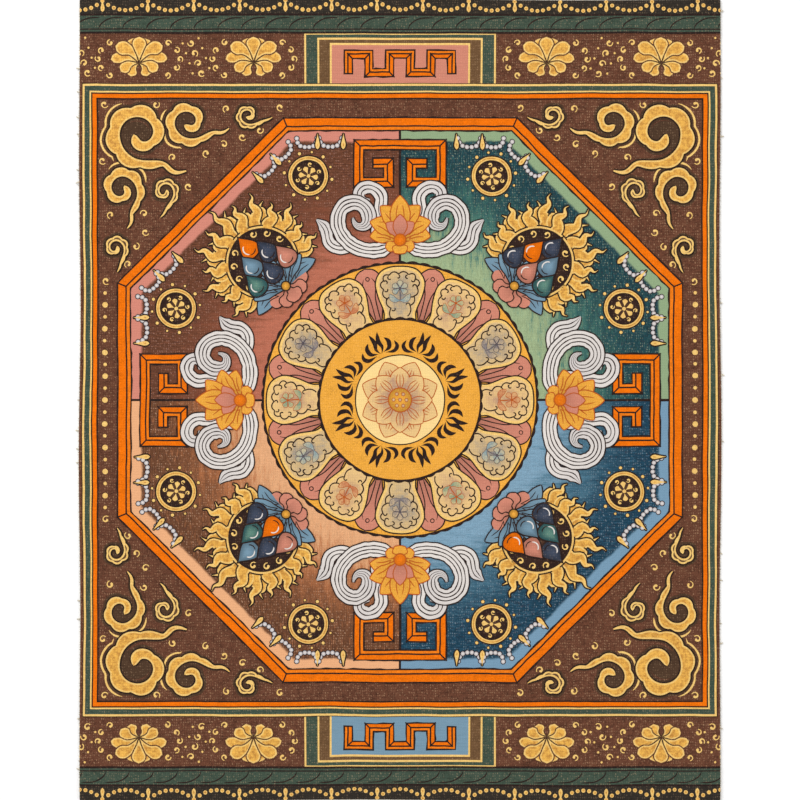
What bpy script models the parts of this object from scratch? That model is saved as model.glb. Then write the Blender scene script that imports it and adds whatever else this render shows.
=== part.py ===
"""A cut length of painted cotton canvas, lying flat with its picture side up.

It is one piece of cloth, so it is one solid. X runs across the picture, Y up the picture
and Z out of it. The origin is under the middle of the cloth, on the surface it lies on.
"""

import math

import bpy

# The painted face, which runs to all four cut sides
PICTURE_WIDTH = 0.140
PICTURE_HEIGHT = 0.175

# The cloth: its thickness with priming and paint, and how its cut edge is softened
CLOTH_THICKNESS = 0.001
EDGE_SOFTENING = 0.00025
CORNER_RADIUS = 0.0005
CORNER_STEPS = 4

# How a hand-held blade wanders along each side: the depth of the wander,
# the number of waves in the side, and where in its wave the cut starts, in turns
STEPS_PER_SIDE = 36
SIDE_WANDER = (
    {"side": "bottom", "depth": 0.00030, "waves": 1.5, "start": 0.10},
    {"side": "right", "depth": 0.00025, "waves": 2.0, "start": 0.35},
    {"side": "top", "depth": 0.00035, "waves": 1.0, "start": 0.60},
    {"side": "left", "depth": 0.00022, "waves": 2.5, "start": 0.80},
)

CANVAS_COLOUR = (0.26, 0.13, 0.07, 1.0)
CANVAS_ROUGHNESS = 0.85


def clear_scene():
    for old in list(bpy.data.objects):
        bpy.data.objects.remove(old, do_unlink=True)


def canvas_material():
    material = bpy.data.materials.new("painted_canvas")
    material.use_nodes = True
    shader = material.node_tree.nodes["Principled BSDF"]
    shader.inputs["Base Color"].default_value = CANVAS_COLOUR
    shader.inputs["Roughness"].default_value = CANVAS_ROUGHNESS
    shader.inputs["Metallic"].default_value = 0.0
    return material


def side_points(start, heading, length, wander):
    """Points along one cut side, from corner radius to corner radius, wandering off the straight line."""
    along = (math.cos(heading), math.sin(heading))
    outward = (math.sin(heading), -math.cos(heading))
    points = []
    for step in range(STEPS_PER_SIDE + 1):
        share = step / STEPS_PER_SIDE
        # The wander fades at both ends, so that each side meets its corners
        fade = math.sin(math.pi * share)
        turn = 2.0 * math.pi * (wander["waves"] * share + wander["start"])
        off = wander["depth"] * fade * math.sin(turn)
        run = length * share
        points.append((
            start[0] + along[0] * run + outward[0] * off,
            start[1] + along[1] * run + outward[1] * off,
        ))
    return points


def corner_points(centre, heading):
    """The worn corner that follows a side with this heading: an arc that turns a quarter to the left."""
    points = []
    for step in range(1, CORNER_STEPS):
        angle = heading - math.pi / 2 + (math.pi / 2) * step / CORNER_STEPS
        points.append((
            centre[0] + CORNER_RADIUS * math.cos(angle),
            centre[1] + CORNER_RADIUS * math.sin(angle),
        ))
    return points


def cloth_outline():
    """The cut edge of the cloth, anticlockwise from its lower left corner, centred on the origin."""
    half_width = PICTURE_WIDTH / 2
    half_height = PICTURE_HEIGHT / 2
    inner_x = half_width - CORNER_RADIUS
    inner_y = half_height - CORNER_RADIUS
    sides = (
        ((-inner_x, -half_height), 0.0, 2 * inner_x, (inner_x, -inner_y)),
        ((half_width, -inner_y), math.pi / 2, 2 * inner_y, (inner_x, inner_y)),
        ((inner_x, half_height), math.pi, 2 * inner_x, (-inner_x, inner_y)),
        ((-half_width, inner_y), -math.pi / 2, 2 * inner_y, (-inner_x, -inner_y)),
    )
    outline = []
    for (start, heading, length, corner), wander in zip(sides, SIDE_WANDER):
        outline += side_points(start, heading, length, wander)
        outline += corner_points(corner, heading)
    xs = [point[0] for point in outline]
    ys = [point[1] for point in outline]
    middle_x = (min(xs) + max(xs)) / 2
    middle_y = (min(ys) + max(ys)) / 2
    return [(x - middle_x, y - middle_y) for x, y in outline]


def make_canvas(collection):
    """The cloth: its flat outline with its thickness, and both rims softened."""
    outline = cloth_outline()
    curve = bpy.data.curves.new("painted_canvas", "CURVE")
    curve.dimensions = "2D"
    curve.fill_mode = "BOTH"
    curve.extrude = CLOTH_THICKNESS / 2
    spline = curve.splines.new("POLY")
    spline.points.add(len(outline) - 1)
    for point, (x, y) in zip(spline.points, outline):
        point.co = (x, y, 0.0, 1.0)
    spline.use_cyclic_u = True

    canvas = bpy.data.objects.new("painted_canvas", curve)
    canvas.location = (0.0, 0.0, CLOTH_THICKNESS / 2)
    curve.materials.append(canvas_material())
    collection.objects.link(canvas)

    weld = canvas.modifiers.new("Close the rim", "WELD")
    weld.merge_threshold = 0.00001
    bevel = canvas.modifiers.new("Soften the cut edge", "BEVEL")
    bevel.width = EDGE_SOFTENING
    bevel.segments = 2
    bevel.limit_method = "ANGLE"
    bevel.angle_limit = math.radians(60)
    return canvas


def main():
    clear_scene()
    collection = bpy.data.collections.new("thangka_canvas")
    bpy.context.scene.collection.children.link(collection)
    make_canvas(collection)


main()
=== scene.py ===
"""The looks of a painted cotton canvas: the cloth, its paint films, the surface it lies on, the light.

The design is drawn in millimetres from the middle of the picture, X to the right and Y up the
picture. Each piece is a set of thin films of colour, which are laid on the cloth at the end.
"""

import bisect
import math
import random

import bmesh
import bpy
from bpy.props import FloatProperty, FloatVectorProperty, IntProperty, PointerProperty
from mathutils import Matrix, Vector, geometry, noise


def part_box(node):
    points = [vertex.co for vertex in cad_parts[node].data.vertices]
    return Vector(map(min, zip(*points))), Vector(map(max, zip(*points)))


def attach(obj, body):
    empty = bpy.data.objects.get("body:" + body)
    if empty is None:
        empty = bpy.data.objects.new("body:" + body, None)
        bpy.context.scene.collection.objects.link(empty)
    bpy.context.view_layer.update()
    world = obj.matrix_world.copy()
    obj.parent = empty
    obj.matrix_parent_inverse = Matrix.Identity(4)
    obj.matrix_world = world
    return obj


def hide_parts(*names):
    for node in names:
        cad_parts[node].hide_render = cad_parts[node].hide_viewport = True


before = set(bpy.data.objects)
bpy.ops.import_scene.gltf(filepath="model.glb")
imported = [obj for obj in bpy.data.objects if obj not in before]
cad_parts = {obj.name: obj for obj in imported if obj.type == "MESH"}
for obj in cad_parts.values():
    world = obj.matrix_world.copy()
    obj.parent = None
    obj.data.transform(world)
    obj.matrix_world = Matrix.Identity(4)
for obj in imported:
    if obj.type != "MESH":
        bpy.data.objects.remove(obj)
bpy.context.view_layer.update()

bl_info = {
    "name": "Painted canvas with a lotus mandala",
    "version": (1, 0, 0),
    "blender": (4, 5, 0),
    "location": "3D View > Sidebar > Canvas",
    "description": "Lays a primed cotton canvas and paints a generic mandala on it, film by film",
    "category": "Object",
}

CLOTH_LOW, CLOTH_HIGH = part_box("painted_canvas")

# One millimetre of the design, in metres
MM = 0.001

# The cloth under its paint: its own thickness, the depth and lengths of its slow ripple
CLOTH_THICKNESS = 0.00050
RIPPLE_DEPTH = 0.00024
RIPPLE_LENGTHS = (0.118, 0.146, 0.093)

# A paint film's rise over the one below, and how deep each film reaches into the cloth
FILM_STEP = 0.000010
FILM_DEPTH = 0.00030

# The longest run of a film that the ripple can bend, and the spacing of points along a stroke, in mm
LONGEST_RUN = 4.0
STROKE_STEP = 0.55
FINE_STEP = 0.32
WALL_STEP = 1.5

# The hand's unsteadiness: how far lines drift, and over what length, in mm, and how far apart in the noise
# the drifts across and up are read
HAND_DRIFT = ((0.16, 9.0), (0.05, 2.2))
DRIFT_APART = 31.7

# The least half width of a stroke's end, in mm, and how finely its outline is rounded when it grows
POINT_END = 0.03
ROUND_STEPS = 8
TIP_REACH = 0.7

# Strokes of one order: how much higher each new one lies than the one before, how many do so before
# they start again, and how much a stroke rises along its own length, in steps of a film
STROKE_RISE = 0.05
STROKES_RISING = 12
LENGTH_RISE = 0.3

# A bend sharper than this, in degrees, is a corner, and a stroke keeps its width round it
CORNER_TURN = 35.0

# How far the straight line that a side is cut along lies inside the cloth's box, in metres, how far in
# from it the design is bent to follow the cut, in mm, and how much of the priming shows past the paint
SIDE_SLACK = 0.00025
CUT_FOLLOWED = 5.0
PRIMING_SHOWN = 0.06

# How the cloth's corners are cut off and its cut edge is softened, in metres
CORNER_CUT = 0.0005
RIM_SOFTENING = 0.00012

# Yarn ends, in metres: how deep they're rooted, how far the short and the long ones reach, how many are long,
# how much of each corner is free of them, and how low they may hang over the floor
YARN_ROOT = 0.00030
YARN_SHORT = (0.00004, 0.00016)
YARN_LONG = (0.0004, 0.0008)
YARN_LONG_SHARE = 0.03
YARN_FREE_CORNER = 0.0016
YARN_LOWEST = 0.00002

# How far the first ground runs past the picture's edge, and how far the frame stays inside it, in mm
EDGE_ROOM = 0.6

# The directions of the court's four upright and level walls, in degrees
QUARTERS = (0, 90, 180, 270)

# How a hand-held blade wanders along each side: the depth of the wander in metres,
# the number of waves in the side, and where in its wave the cut starts, in turns
SIDE_WANDER = {
    "bottom": {"depth": 0.00030, "waves": 1.5, "start": 0.10},
    "right": {"depth": 0.00025, "waves": 2.0, "start": 0.35},
    "top": {"depth": 0.00035, "waves": 1.0, "start": 0.60},
    "left": {"depth": 0.00022, "waves": 2.5, "start": 0.80},
}

# The order in which films lie over each other
GROUND = 1
FIELD = 2
MARKS = 3
CLOUD = 4
RING = 4
SWAG = 4
WALL = 7
FRET = 7
FRAME = 12
RIBBON = 10
JEWEL = 10


def linear(red, green, blue):
    """A colour given as it looks on a screen, from 0 to 255, in the numbers that shaders use."""
    shares = [part / 255 for part in (red, green, blue)]
    return tuple(s / 12.92 if s <= 0.04045 else ((s + 0.055) / 1.055) ** 2.4 for s in shares)


def length(name, description, default):
    return FloatProperty(name=name, description=description, default=default, min=0.0, unit="LENGTH")


def colour(name, description, *seen):
    return FloatVectorProperty(
        name=name, description=description, default=linear(*seen), size=3, min=0.0, max=1.0, subtype="COLOR"
    )


class CanvasSizes(bpy.types.PropertyGroup):
    picture_width: length("Picture width", "Width of the painted face", 0.140)
    picture_height: length("Picture height", "Height of the painted face", 0.175)
    thread_across: length("Thread pitch across", "From one upright thread to the next", 0.000481)
    thread_up: length("Thread pitch up", "From one level thread to the next", 0.000569)
    ink_width: length("Ink line", "Width of the black outlines", 0.00034)
    court: length("Court", "From the middle to the middle of each of the court's eight walls", 0.0602)
    wall: length("Wall", "Width of the court's wall with its outlines", 0.0032)
    border_wall: length("Border wall", "Width of the strips along the picture's edges", 0.0035)
    fret: length("Fret", "Width of the bars of the key frets", 0.0025)
    ring: length("Petal ring", "Radius of the ring of petals", 0.0300)
    disc: length("Gold disc", "Radius of the disc inside the petals", 0.0178)
    ring_petals: IntProperty(name="Petals", description="Petals in the ring", default=12, min=6, max=24)


class PaintColours(bpy.types.PropertyGroup):
    cotton: colour("Cotton", "Bare primed cotton", 226, 214, 190)
    ground: colour("Ground", "Brown-red ground outside the court", 103, 64, 47)
    field_red: colour("Red field", "Dark of the upper left field", 104, 64, 45)
    field_green: colour("Green field", "Dark of the upper right field", 32, 66, 74)
    field_blue: colour("Blue field", "Dark of the lower right field", 28, 64, 84)
    field_tan: colour("Tan field", "Dark of the lower left field", 106, 68, 46)
    orange: colour("Orange", "Main bands of walls and frets", 238, 114, 4)
    orange_light: colour("Light orange", "Thin bands of walls and frets", 240, 124, 20)
    gold: colour("Gold", "Gold paint", 246, 187, 82)
    gold_rim: colour("Gold rim", "Bright edge of gold shapes", 250, 208, 122)
    yellow: colour("Yellow", "The disc's warm yellow", 240, 170, 64)
    cream: colour("Cream", "Pale petals", 238, 198, 134)
    pink: colour("Pink", "Pink petals and panels", 208, 134, 112)
    white: colour("White", "Ribbons and pearls", 228, 220, 213)
    slate: colour("Slate", "Dark blue-grey", 68, 76, 94)
    sky: colour("Sky blue", "Light blue", 118, 149, 168)
    green: colour("Green", "Dark green bands", 67, 82, 69)
    ink: colour("Ink", "Black-brown outlines", 40, 27, 24)


def sizes():
    return bpy.context.scene.canvas_sizes


def mm(value):
    """A size property, which is in metres, in the design's millimetres."""
    return value / MM


def half_picture():
    """Half of the picture's width and height, in mm."""
    return mm(sizes().picture_width) / 2, mm(sizes().picture_height) / 2


# Points and paths, in millimetres


def points(*pairs):
    return [Vector((x, y, 0.0)) for x, y in pairs]


def polar(radius, degrees, centre=(0.0, 0.0)):
    angle = math.radians(degrees)
    return Vector((centre[0] + radius * math.cos(angle), centre[1] + radius * math.sin(angle), 0.0))


def arc(radius, start, end, centre=(0.0, 0.0), step=STROKE_STEP):
    """Points along an arc from one angle to another, in degrees."""
    run = abs(math.radians(end - start)) * radius
    count = max(4, math.ceil(run / step))
    return [polar(radius, start + (end - start) * i / count, centre) for i in range(count + 1)]


def ring_of(radius, centre=(0.0, 0.0), step=STROKE_STEP, least=10):
    """Points round a circle, the last not on the first."""
    count = max(least, math.ceil(2 * math.pi * radius / step))
    return [polar(radius, 360 * i / count, centre) for i in range(count)]


def spiral(start_radius, end_radius, start, turns, step):
    """Points that wind inwards round the origin, from an angle in degrees."""
    run = math.pi * (start_radius + end_radius) * turns
    count = max(6, math.ceil(run / step))
    found = []
    for i in range(count + 1):
        share = i / count
        radius = start_radius + (end_radius - start_radius) * share
        found.append(polar(radius, start + 360 * turns * share))
    return found


def even(path, step, closed=False):
    """The same path with its points evenly spaced."""
    run = path + path[:1] if closed else path
    reach = [0.0]
    for a, b in zip(run, run[1:]):
        reach.append(reach[-1] + (b - a).length)
    count = max(3 if closed else 2, math.ceil(reach[-1] / step))
    found = []
    at = 0
    for i in range(count if closed else count + 1):
        goal = reach[-1] * i / count
        while at < len(reach) - 2 and reach[at + 1] < goal:
            at += 1
        span = max(reach[at + 1] - reach[at], 1e-9)
        found.append(run[at].lerp(run[at + 1], min(1.0, (goal - reach[at]) / span)))
    return found


def smooth(path, closed=False, step=STROKE_STEP):
    """An even run of points on a smooth curve through the given ones."""
    count = len(path)
    curve = []
    for i in range(count if closed else count - 1):
        a, b = path[i], path[(i + 1) % count]
        before = path[i - 1] if closed or i else a
        after = path[(i + 2) % count] if closed or i + 2 < count else b
        curve += geometry.interpolate_bezier(a, a + (b - before) / 6, b - (after - a) / 6, b, 12)[:-1]
    if not closed:
        curve.append(path[-1].copy())
    return even(curve, step, closed)


def drawn(place, *pairs, step=FINE_STEP):
    """A smooth curve through points of a motif, carried to its place in the picture."""
    return place(smooth(points(*pairs), step=step))


def spot_at(place, x, y):
    """One spot of a motif, carried to its place in the picture."""
    return place(points((x, y)))[0]


def relaxed(path, passes):
    """The path with its bends evened out, its ends kept."""
    for _ in range(passes):
        middle = [(a + b * 2 + c) / 4 for a, b, c in zip(path, path[1:], path[2:])]
        path = [path[0], *middle, path[-1]]
    return path


def straight(path, closed=False, longest=LONGEST_RUN):
    """The same corners, with the long runs between them split."""
    run = path + path[:1] if closed else path
    found = []
    for a, b in zip(run, run[1:]):
        count = max(1, math.ceil((b - a).length / longest))
        found += [a.lerp(b, i / count) for i in range(count)]
    return found if closed else found + [run[-1].copy()]


def run_on(path, more):
    """The path with both its ends run on by so many millimetres."""
    a, b, c = path[:3]
    first = a + (b - c if a == b else a - b).normalized() * more
    a, b, c = path[:-4:-1]
    last = a + (b - c if a == b else a - b).normalized() * more
    return [first, *path[1:-1], last]


def left_of(way):
    return Vector((-way.y, way.x, 0.0)).normalized()


def side_ways(path, closed=False):
    """The way to the left of the path at each point, longer at corners, so that a band keeps its width."""
    count = len(path)
    found = []
    for i in range(count):
        ahead = path[(i + 1) % count] - path[i] if closed or i < count - 1 else path[i] - path[i - 1]
        behind = path[i] - path[i - 1] if closed or i else ahead
        a, b = left_of(behind), left_of(ahead)
        middle = a + b if (a + b).length > 1e-4 else a
        middle.normalize()
        found.append(middle / max(middle.dot(b), 0.45))
    return found


def beside(path, distance, closed=False):
    """The path moved to its left by a distance."""
    return [p + way * distance for p, way in zip(path, side_ways(path, closed))]


def anticlockwise(outline):
    """The same outline, run so that its inside lies to the left."""
    area = sum(a.cross(b).z for a, b in zip(outline, outline[1:] + outline[:1]))
    return outline if area > 0 else outline[::-1]


def eased(path, offsets, side):
    """Distances to one side of a path, short of the middle of its bends, so that the stroke doesn't fold."""
    found = list(offsets)
    for i in range(1, len(path) - 1):
        ahead, behind = path[i + 1] - path[i], path[i] - path[i - 1]
        turn = math.atan2(behind.cross(ahead).z, behind.dot(ahead))
        if 1e-4 < turn * side and abs(math.degrees(turn)) < CORNER_TURN:
            reach = 0.92 * (ahead.length + behind.length) / 2 / abs(turn)
            found[i] = side * min(side * found[i], reach)
    return found


def shares(path):
    """How far along the path each point lies, from 0 to 1."""
    found = reaches(path)
    return [r / max(found[-1], 1e-9) for r in found]


def placed(x=0.0, y=0.0, turn=0.0, mirror=False):
    """A function that carries points drawn upright at the origin to their place in the picture."""
    flip = Matrix.Diagonal((-1.0 if mirror else 1.0, 1.0, 1.0, 1.0))
    matrix = Matrix.Translation((x, y, 0.0)) @ Matrix.Rotation(math.radians(turn), 4, "Z") @ flip
    return lambda path: [matrix @ point for point in path]


def within(place, x=0.0, y=0.0, turn=0.0, mirror=False):
    """The same for a part of a motif that has a place itself."""
    at = placed(x, y, turn, mirror)
    return lambda path: place(at(path))


def outward(radius, angle, mirror=False):
    """The same for a motif that stands on a circle round the middle, its top outwards."""
    spot = polar(radius, angle)
    return placed(spot.x, spot.y, angle - 90, mirror)


def both_hands(radius, angle):
    """The places of a motif and of its mirror image on a circle round the middle."""
    return [outward(radius, angle, mirror) for mirror in (False, True)]


# The widths of strokes: each gives the share of the full half width at a share of the length


def leaf_form(share):
    return math.sin(math.pi * share ** 1.25) ** 0.85


def drop_form(share):
    """Narrow at the root and round at the tip."""
    belly = 0.68
    if share < belly:
        return (share / belly) ** 1.15
    return math.sqrt(max(0.0, 1 - ((share - belly) / (1 - belly)) ** 2))


def flame_form(share):
    return 1.95 * (share + 0.03) ** 0.42 * (1 - share) ** 1.30


def curl_form(share):
    """A thin start that swells to a bead at the end."""
    belly = 0.86
    if share < belly:
        return 0.30 + 0.45 * (share / belly) ** 2
    return 0.95 * math.sqrt(max(0.05, 1 - ((share - belly) / (1 - belly)) ** 2)) + 0.05


def brush_form(share):
    """Even, with both ends drawn to a point."""
    return min(1.0, (share / 0.12 + 0.05) ** 0.6, ((1 - share) / 0.16 + 0.05) ** 0.6)


def even_form(share):
    return 1.0


def unsteady(point, amount=0.22):
    """The hand's pressure at a point, round 1."""
    return 1 + amount * noise.noise(Vector((point.x * 0.9, point.y * 0.9, 4.7)))


def reaches(path):
    """The distance along the path of each of its points, in mm."""
    found = [0.0]
    for a, b in zip(path, path[1:]):
        found.append(found[-1] + (b - a).length)
    return found


def grown(spine, widths, more):
    """A stroke's spine and half widths with its outline so many millimetres further out, or in below 0."""
    if not more:
        return spine, widths
    marks = reaches(spine)
    whole = marks[-1]
    places = marks
    if more > 0:
        spine = run_on([spine[0], *spine, spine[-1]], more * TIP_REACH)
        places = [-more * TIP_REACH, *marks, whole + more * TIP_REACH]
    found = []
    for spot in places:
        reached = []
        for turn in range(ROUND_STEPS + 1):
            angle = math.pi * turn / ROUND_STEPS
            at, off = spot + abs(more) * math.cos(angle), more * math.sin(angle)
            if -1e-6 <= at <= whole + 1e-6:
                after = min(max(bisect.bisect_left(marks, at), 1), len(marks) - 1)
                share = (at - marks[after - 1]) / max(marks[after] - marks[after - 1], 1e-9)
                reached.append(widths[after - 1] + (widths[after] - widths[after - 1]) * share + off)
            elif more < 0:
                reached.append(off)
        found.append(max(reached) if more > 0 else min(reached))
    if more > 0:
        return spine, [more * 0.3, *found[1:-1], more * 0.3]
    kept = [i for i, w in enumerate(found) if w > POINT_END]
    if len(kept) < 3:
        return None, None
    part = slice(kept[0], kept[-1] + 1)
    return spine[part], [max(w, POINT_END) for w in found[part]]


class Film:
    """The films of paint of one piece, drawn in millimetres, with each film's order as its height."""

    def __init__(self, name):
        self.name = name
        self.paints = []
        self.mesh = bmesh.new()
        self.shade = self.mesh.verts.layers.float.new("shade")
        self.strokes = 0

    def rise(self):
        """What a new stroke adds to its order, so that no two lie at the same height."""
        self.strokes += 1
        return STROKE_RISE * (self.strokes % STROKES_RISING)

    def paint_faces(self, verts, paint):
        if paint not in self.paints:
            self.paints.append(paint)
        index = self.paints.index(paint)
        for face in {face for vert in verts for face in vert.link_faces}:
            face.material_index = index

    def band(self, path, low, high, paint, level, closed=False, shade=(0.0, 0.0)):
        """A strip along a path, from low to high mm to its left: numbers, or lists of one for each point."""
        count = len(path)
        ways = side_ways(path, closed)
        lows = eased(path, low if isinstance(low, list) else [low] * count, -1)
        highs = eased(path, high if isinstance(high, list) else [high] * count, 1)
        along = shares(path)
        base = level + self.rise()
        order = [*range(count), 0] if closed else range(count)
        made = bmesh.ops.create_grid(self.mesh, x_segments=len(order) - 1, y_segments=1, size=1.0)["verts"]
        # The grid's corners come in no sure order, so they're sorted
        made.sort(key=lambda vert: (vert.co.y > 0, vert.co.x))
        for row, offs in enumerate((lows, highs)):
            for column, i in enumerate(order):
                vert = made[row * len(order) + column]
                spot = path[i] + ways[i] * offs[i]
                vert.co = (spot.x, spot.y, base if closed else base + LENGTH_RISE * along[i])
                vert[self.shade] = shade[0] + (shade[1] - shade[0]) * along[i]
        self.paint_faces(made, paint)
        if closed:
            last = len(order) - 1
            seam = [made[0], made[last], made[last + 1], made[2 * last + 1]]
            bmesh.ops.remove_doubles(self.mesh, verts=seam, dist=1e-5)

    def strip(self, path, widths, paint, level, closed=False, shade=(0.0, 0.0)):
        """A strip along a path, with the same half widths to both sides."""
        self.band(path, [-w for w in widths], widths, paint, level, closed, shade)

    def patch(self, outline, paint, level, centre=None, shade=(0.0, 0.0)):
        """A filled outline: a fan round its centre, cut so that it can follow the cloth's ripple."""
        middle = centre or sum(outline, Vector()) / len(outline)
        rim = anticlockwise(outline)
        made = bmesh.ops.create_circle(
            self.mesh, cap_ends=True, cap_tris=True, segments=len(rim), radius=1.0
        )["verts"]
        made.sort(key=lambda vert: (vert.co.length > 0.5, math.atan2(-vert.co.x, vert.co.y) % math.tau))
        base = level + self.rise()
        for vert, spot, depth in zip(made, [middle, *rim], [shade[0]] + [shade[1]] * len(rim)):
            vert.co = (spot.x, spot.y, base)
            vert[self.shade] = depth
        self.paint_faces(made, paint)
        self.cut_fine(made)

    def cut_fine(self, verts):
        """Cuts new faces along the lines of a grid, where they're longer than the ripple allows."""
        geom = {*verts}
        for vert in verts:
            geom.update(vert.link_edges)
            geom.update(vert.link_faces)
        for axis in (0, 1):
            low = min(vert.co[axis] for vert in verts)
            high = max(vert.co[axis] for vert in verts)
            if high - low < 1.5 * LONGEST_RUN:
                continue
            normal = Vector((1.0 - axis, axis, 0.0))
            for line in range(math.ceil(low / LONGEST_RUN), math.floor(high / LONGEST_RUN) + 1):
                spot = normal * line * LONGEST_RUN
                found = bmesh.ops.bisect_plane(
                    self.mesh, geom=list(geom), dist=1e-4, plane_co=spot, plane_no=normal
                )
                geom = set(found["geom"])

    def stroke(self, path, width, paint, level, form=brush_form):
        """A brush stroke: half its width to each side, shaped by its form."""
        widths = [max(width / 2 * form(s) * unsteady(p), POINT_END) for s, p in zip(shares(path), path)]
        self.strip(path, widths, paint, level)

    def loop(self, path, width, paint, level):
        """A closed line of a given width."""
        self.strip(path, [width / 2 * unsteady(p) for p in path], paint, level, closed=True)

    def leaf(self, spine, width, coats, level, form=leaf_form, shade=(0.0, 1.0)):
        """A shape along a spine in coats, each a paint and how far it reaches past the shape's edge."""
        base = [max(width / 2 * form(s), POINT_END) for s in shares(spine)]
        for step, (paint, more) in enumerate(coats):
            path, widths = grown(spine, base, more)
            if path:
                shaky = [w * unsteady(p, 0.05) for w, p in zip(widths, path)]
                self.strip(path, shaky, paint, level + step, shade=shade)

    def spot(self, outline, coats, level, shade=(0.0, 1.0), centre=None):
        """A filled outline in several coats, each a paint and how far it reaches past the outline."""
        outline = anticlockwise(outline)
        for step, (paint, more) in enumerate(coats):
            rim = beside(outline, -more, closed=True) if more else outline
            self.patch(rim, paint, level + step, centre, shade)

    def bead(self, centre, radius, coats, level, corners=9):
        """A round dot in several coats."""
        for step, (paint, more) in enumerate(coats):
            rim = [polar(radius + more, 360 * i / corners + 17, centre) for i in range(corners)]
            self.patch(rim, paint, level + step, Vector((centre[0], centre[1], 0.0)), (0.0, 1.0))

    def trim(self):
        """Cuts off what runs past the picture's edges."""
        half = half_picture()
        for axis in (0, 1):
            for side in (-1.0, 1.0):
                normal = Vector((side * (1 - axis), side * axis, 0.0))
                everything = self.mesh.verts[:] + self.mesh.edges[:] + self.mesh.faces[:]
                bmesh.ops.bisect_plane(
                    self.mesh, geom=everything, dist=1e-4, plane_co=normal * half[axis], plane_no=normal,
                    clear_outer=True,
                )

    def lay(self):
        """Lays the films on the cloth as one piece: they drift, bend to the ripple and get their depth."""
        self.trim()
        half = half_picture()
        for vert in self.mesh.verts:
            x, y, level = vert.co
            near_edge = min(half[0] - abs(x), half[1] - abs(y))
            drift = hand_drift(x, y) * max(0.0, min(1.0, near_edge))
            spot = to_cut(Vector((x + drift.x, y + drift.y, 0.0)) * MM)
            spot.z = cloth_top(spot.x, spot.y) + level * FILM_STEP
            vert.co = spot
        # Where a stroke folds over itself at a tight bend, its faces would point down
        self.mesh.normal_update()
        bmesh.ops.reverse_faces(self.mesh, faces=[face for face in self.mesh.faces if face.normal.z < 0])
        thicken(new_piece(self.name, self.mesh, [paint(name) for name in self.paints]), FILM_DEPTH)
        return {"FINISHED"}


def wander(side, share):
    """How far a cut side lies outside its straight line, in metres, at a share of its length."""
    facts = SIDE_WANDER[side]
    turn = 2 * math.pi * (facts["waves"] * share + facts["start"])
    return facts["depth"] * math.sin(math.pi * share) * math.sin(turn)


def cut_side(x, y, axis):
    """Where the cut side nearest to a point lies, along an axis, all in metres."""
    high = CLOTH_HIGH - Vector((SIDE_SLACK, SIDE_SLACK, 0.0))
    if axis:
        share = 0.5 + x / (2 * high.x)
        return high.y + wander("top", 1 - share) if y > 0 else -high.y - wander("bottom", share)
    share = 0.5 + y / (2 * high.y)
    return high.x + wander("right", share) if x > 0 else -high.x - wander("left", 1 - share)


def to_cut(spot):
    """A spot of the design, in metres, moved so that the picture's edges follow the cut sides."""
    half = (sizes().picture_width / 2, sizes().picture_height / 2)
    moved = spot.copy()
    for axis in (0, 1):
        side = math.copysign(1.0, spot[axis])
        near = max(0.0, 1 - (half[axis] - abs(spot[axis])) / (CUT_FOLLOWED * MM))
        goal = cut_side(spot.x, spot.y, axis) - side * PRIMING_SHOWN * MM
        moved[axis] += (goal - side * half[axis]) * min(1.0, near)
    return moved


def hand_drift(x, y):
    """How far the hand strays at a spot of the design, in mm, the same in each run."""
    drift = Vector()
    for amount, run in HAND_DRIFT:
        for axis in (0, 1):
            drift[axis] += amount * noise.noise(Vector((x / run, y / run, run + DRIFT_APART * axis)))
    return drift


def ripple(x, y):
    """How high the cloth's underside lies over the floor: a slow ripple, never below 0."""
    long, cross, short = (2 * math.pi / reach for reach in RIPPLE_LENGTHS)
    wave = math.sin(long * x + 0.7) + math.sin(cross * y - 0.4) + 0.6 * math.sin(short * (x + y) + 2.1)
    return RIPPLE_DEPTH * (0.5 + wave / 5.2)


def cloth_top(x, y):
    return CLOTH_LOW.z + ripple(x, y) + CLOTH_THICKNESS


def new_object(name, shape, materials):
    """An object of a bmesh, with its materials."""
    mesh = bpy.data.meshes.new(name)
    shape.to_mesh(mesh)
    shape.free()
    if not mesh.polygons:
        raise RuntimeError(f"{name} has no faces")
    for material in materials:
        mesh.materials.append(material)
    made = bpy.data.objects.new(name, mesh)
    bpy.context.scene.collection.objects.link(made)
    return made


def new_piece(name, shape, materials):
    """An object that rides on the canvas's body."""
    shape.normal_update()
    piece = new_object(name, shape, materials)
    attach(piece, "root")
    return piece


def thicken(piece, thickness):
    """Gives a flat piece its thickness, downwards."""
    depth = piece.modifiers.new("Thickness", "SOLIDIFY")
    depth.thickness = thickness
    depth.offset = -1.0


# Shader maths


class Value:
    """A socket of a shader. Sums and products of it add the Math nodes."""

    def __init__(self, recipe, socket):
        self.recipe = recipe
        self.socket = socket

    def __add__(self, other):
        return self.recipe.math("ADD", self, other)

    def __sub__(self, other):
        return self.recipe.math("SUBTRACT", self, other)

    def __rsub__(self, other):
        return self.recipe.math("SUBTRACT", other, self)

    def __mul__(self, other):
        return self.recipe.math("MULTIPLY", self, other)

    def __truediv__(self, other):
        return self.recipe.math("DIVIDE", self, other)

    def __pow__(self, other):
        return self.recipe.math("POWER", self, other)

    def __abs__(self):
        return self.recipe.math("ABSOLUTE", self)

    __radd__ = __add__
    __rmul__ = __mul__


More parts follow.
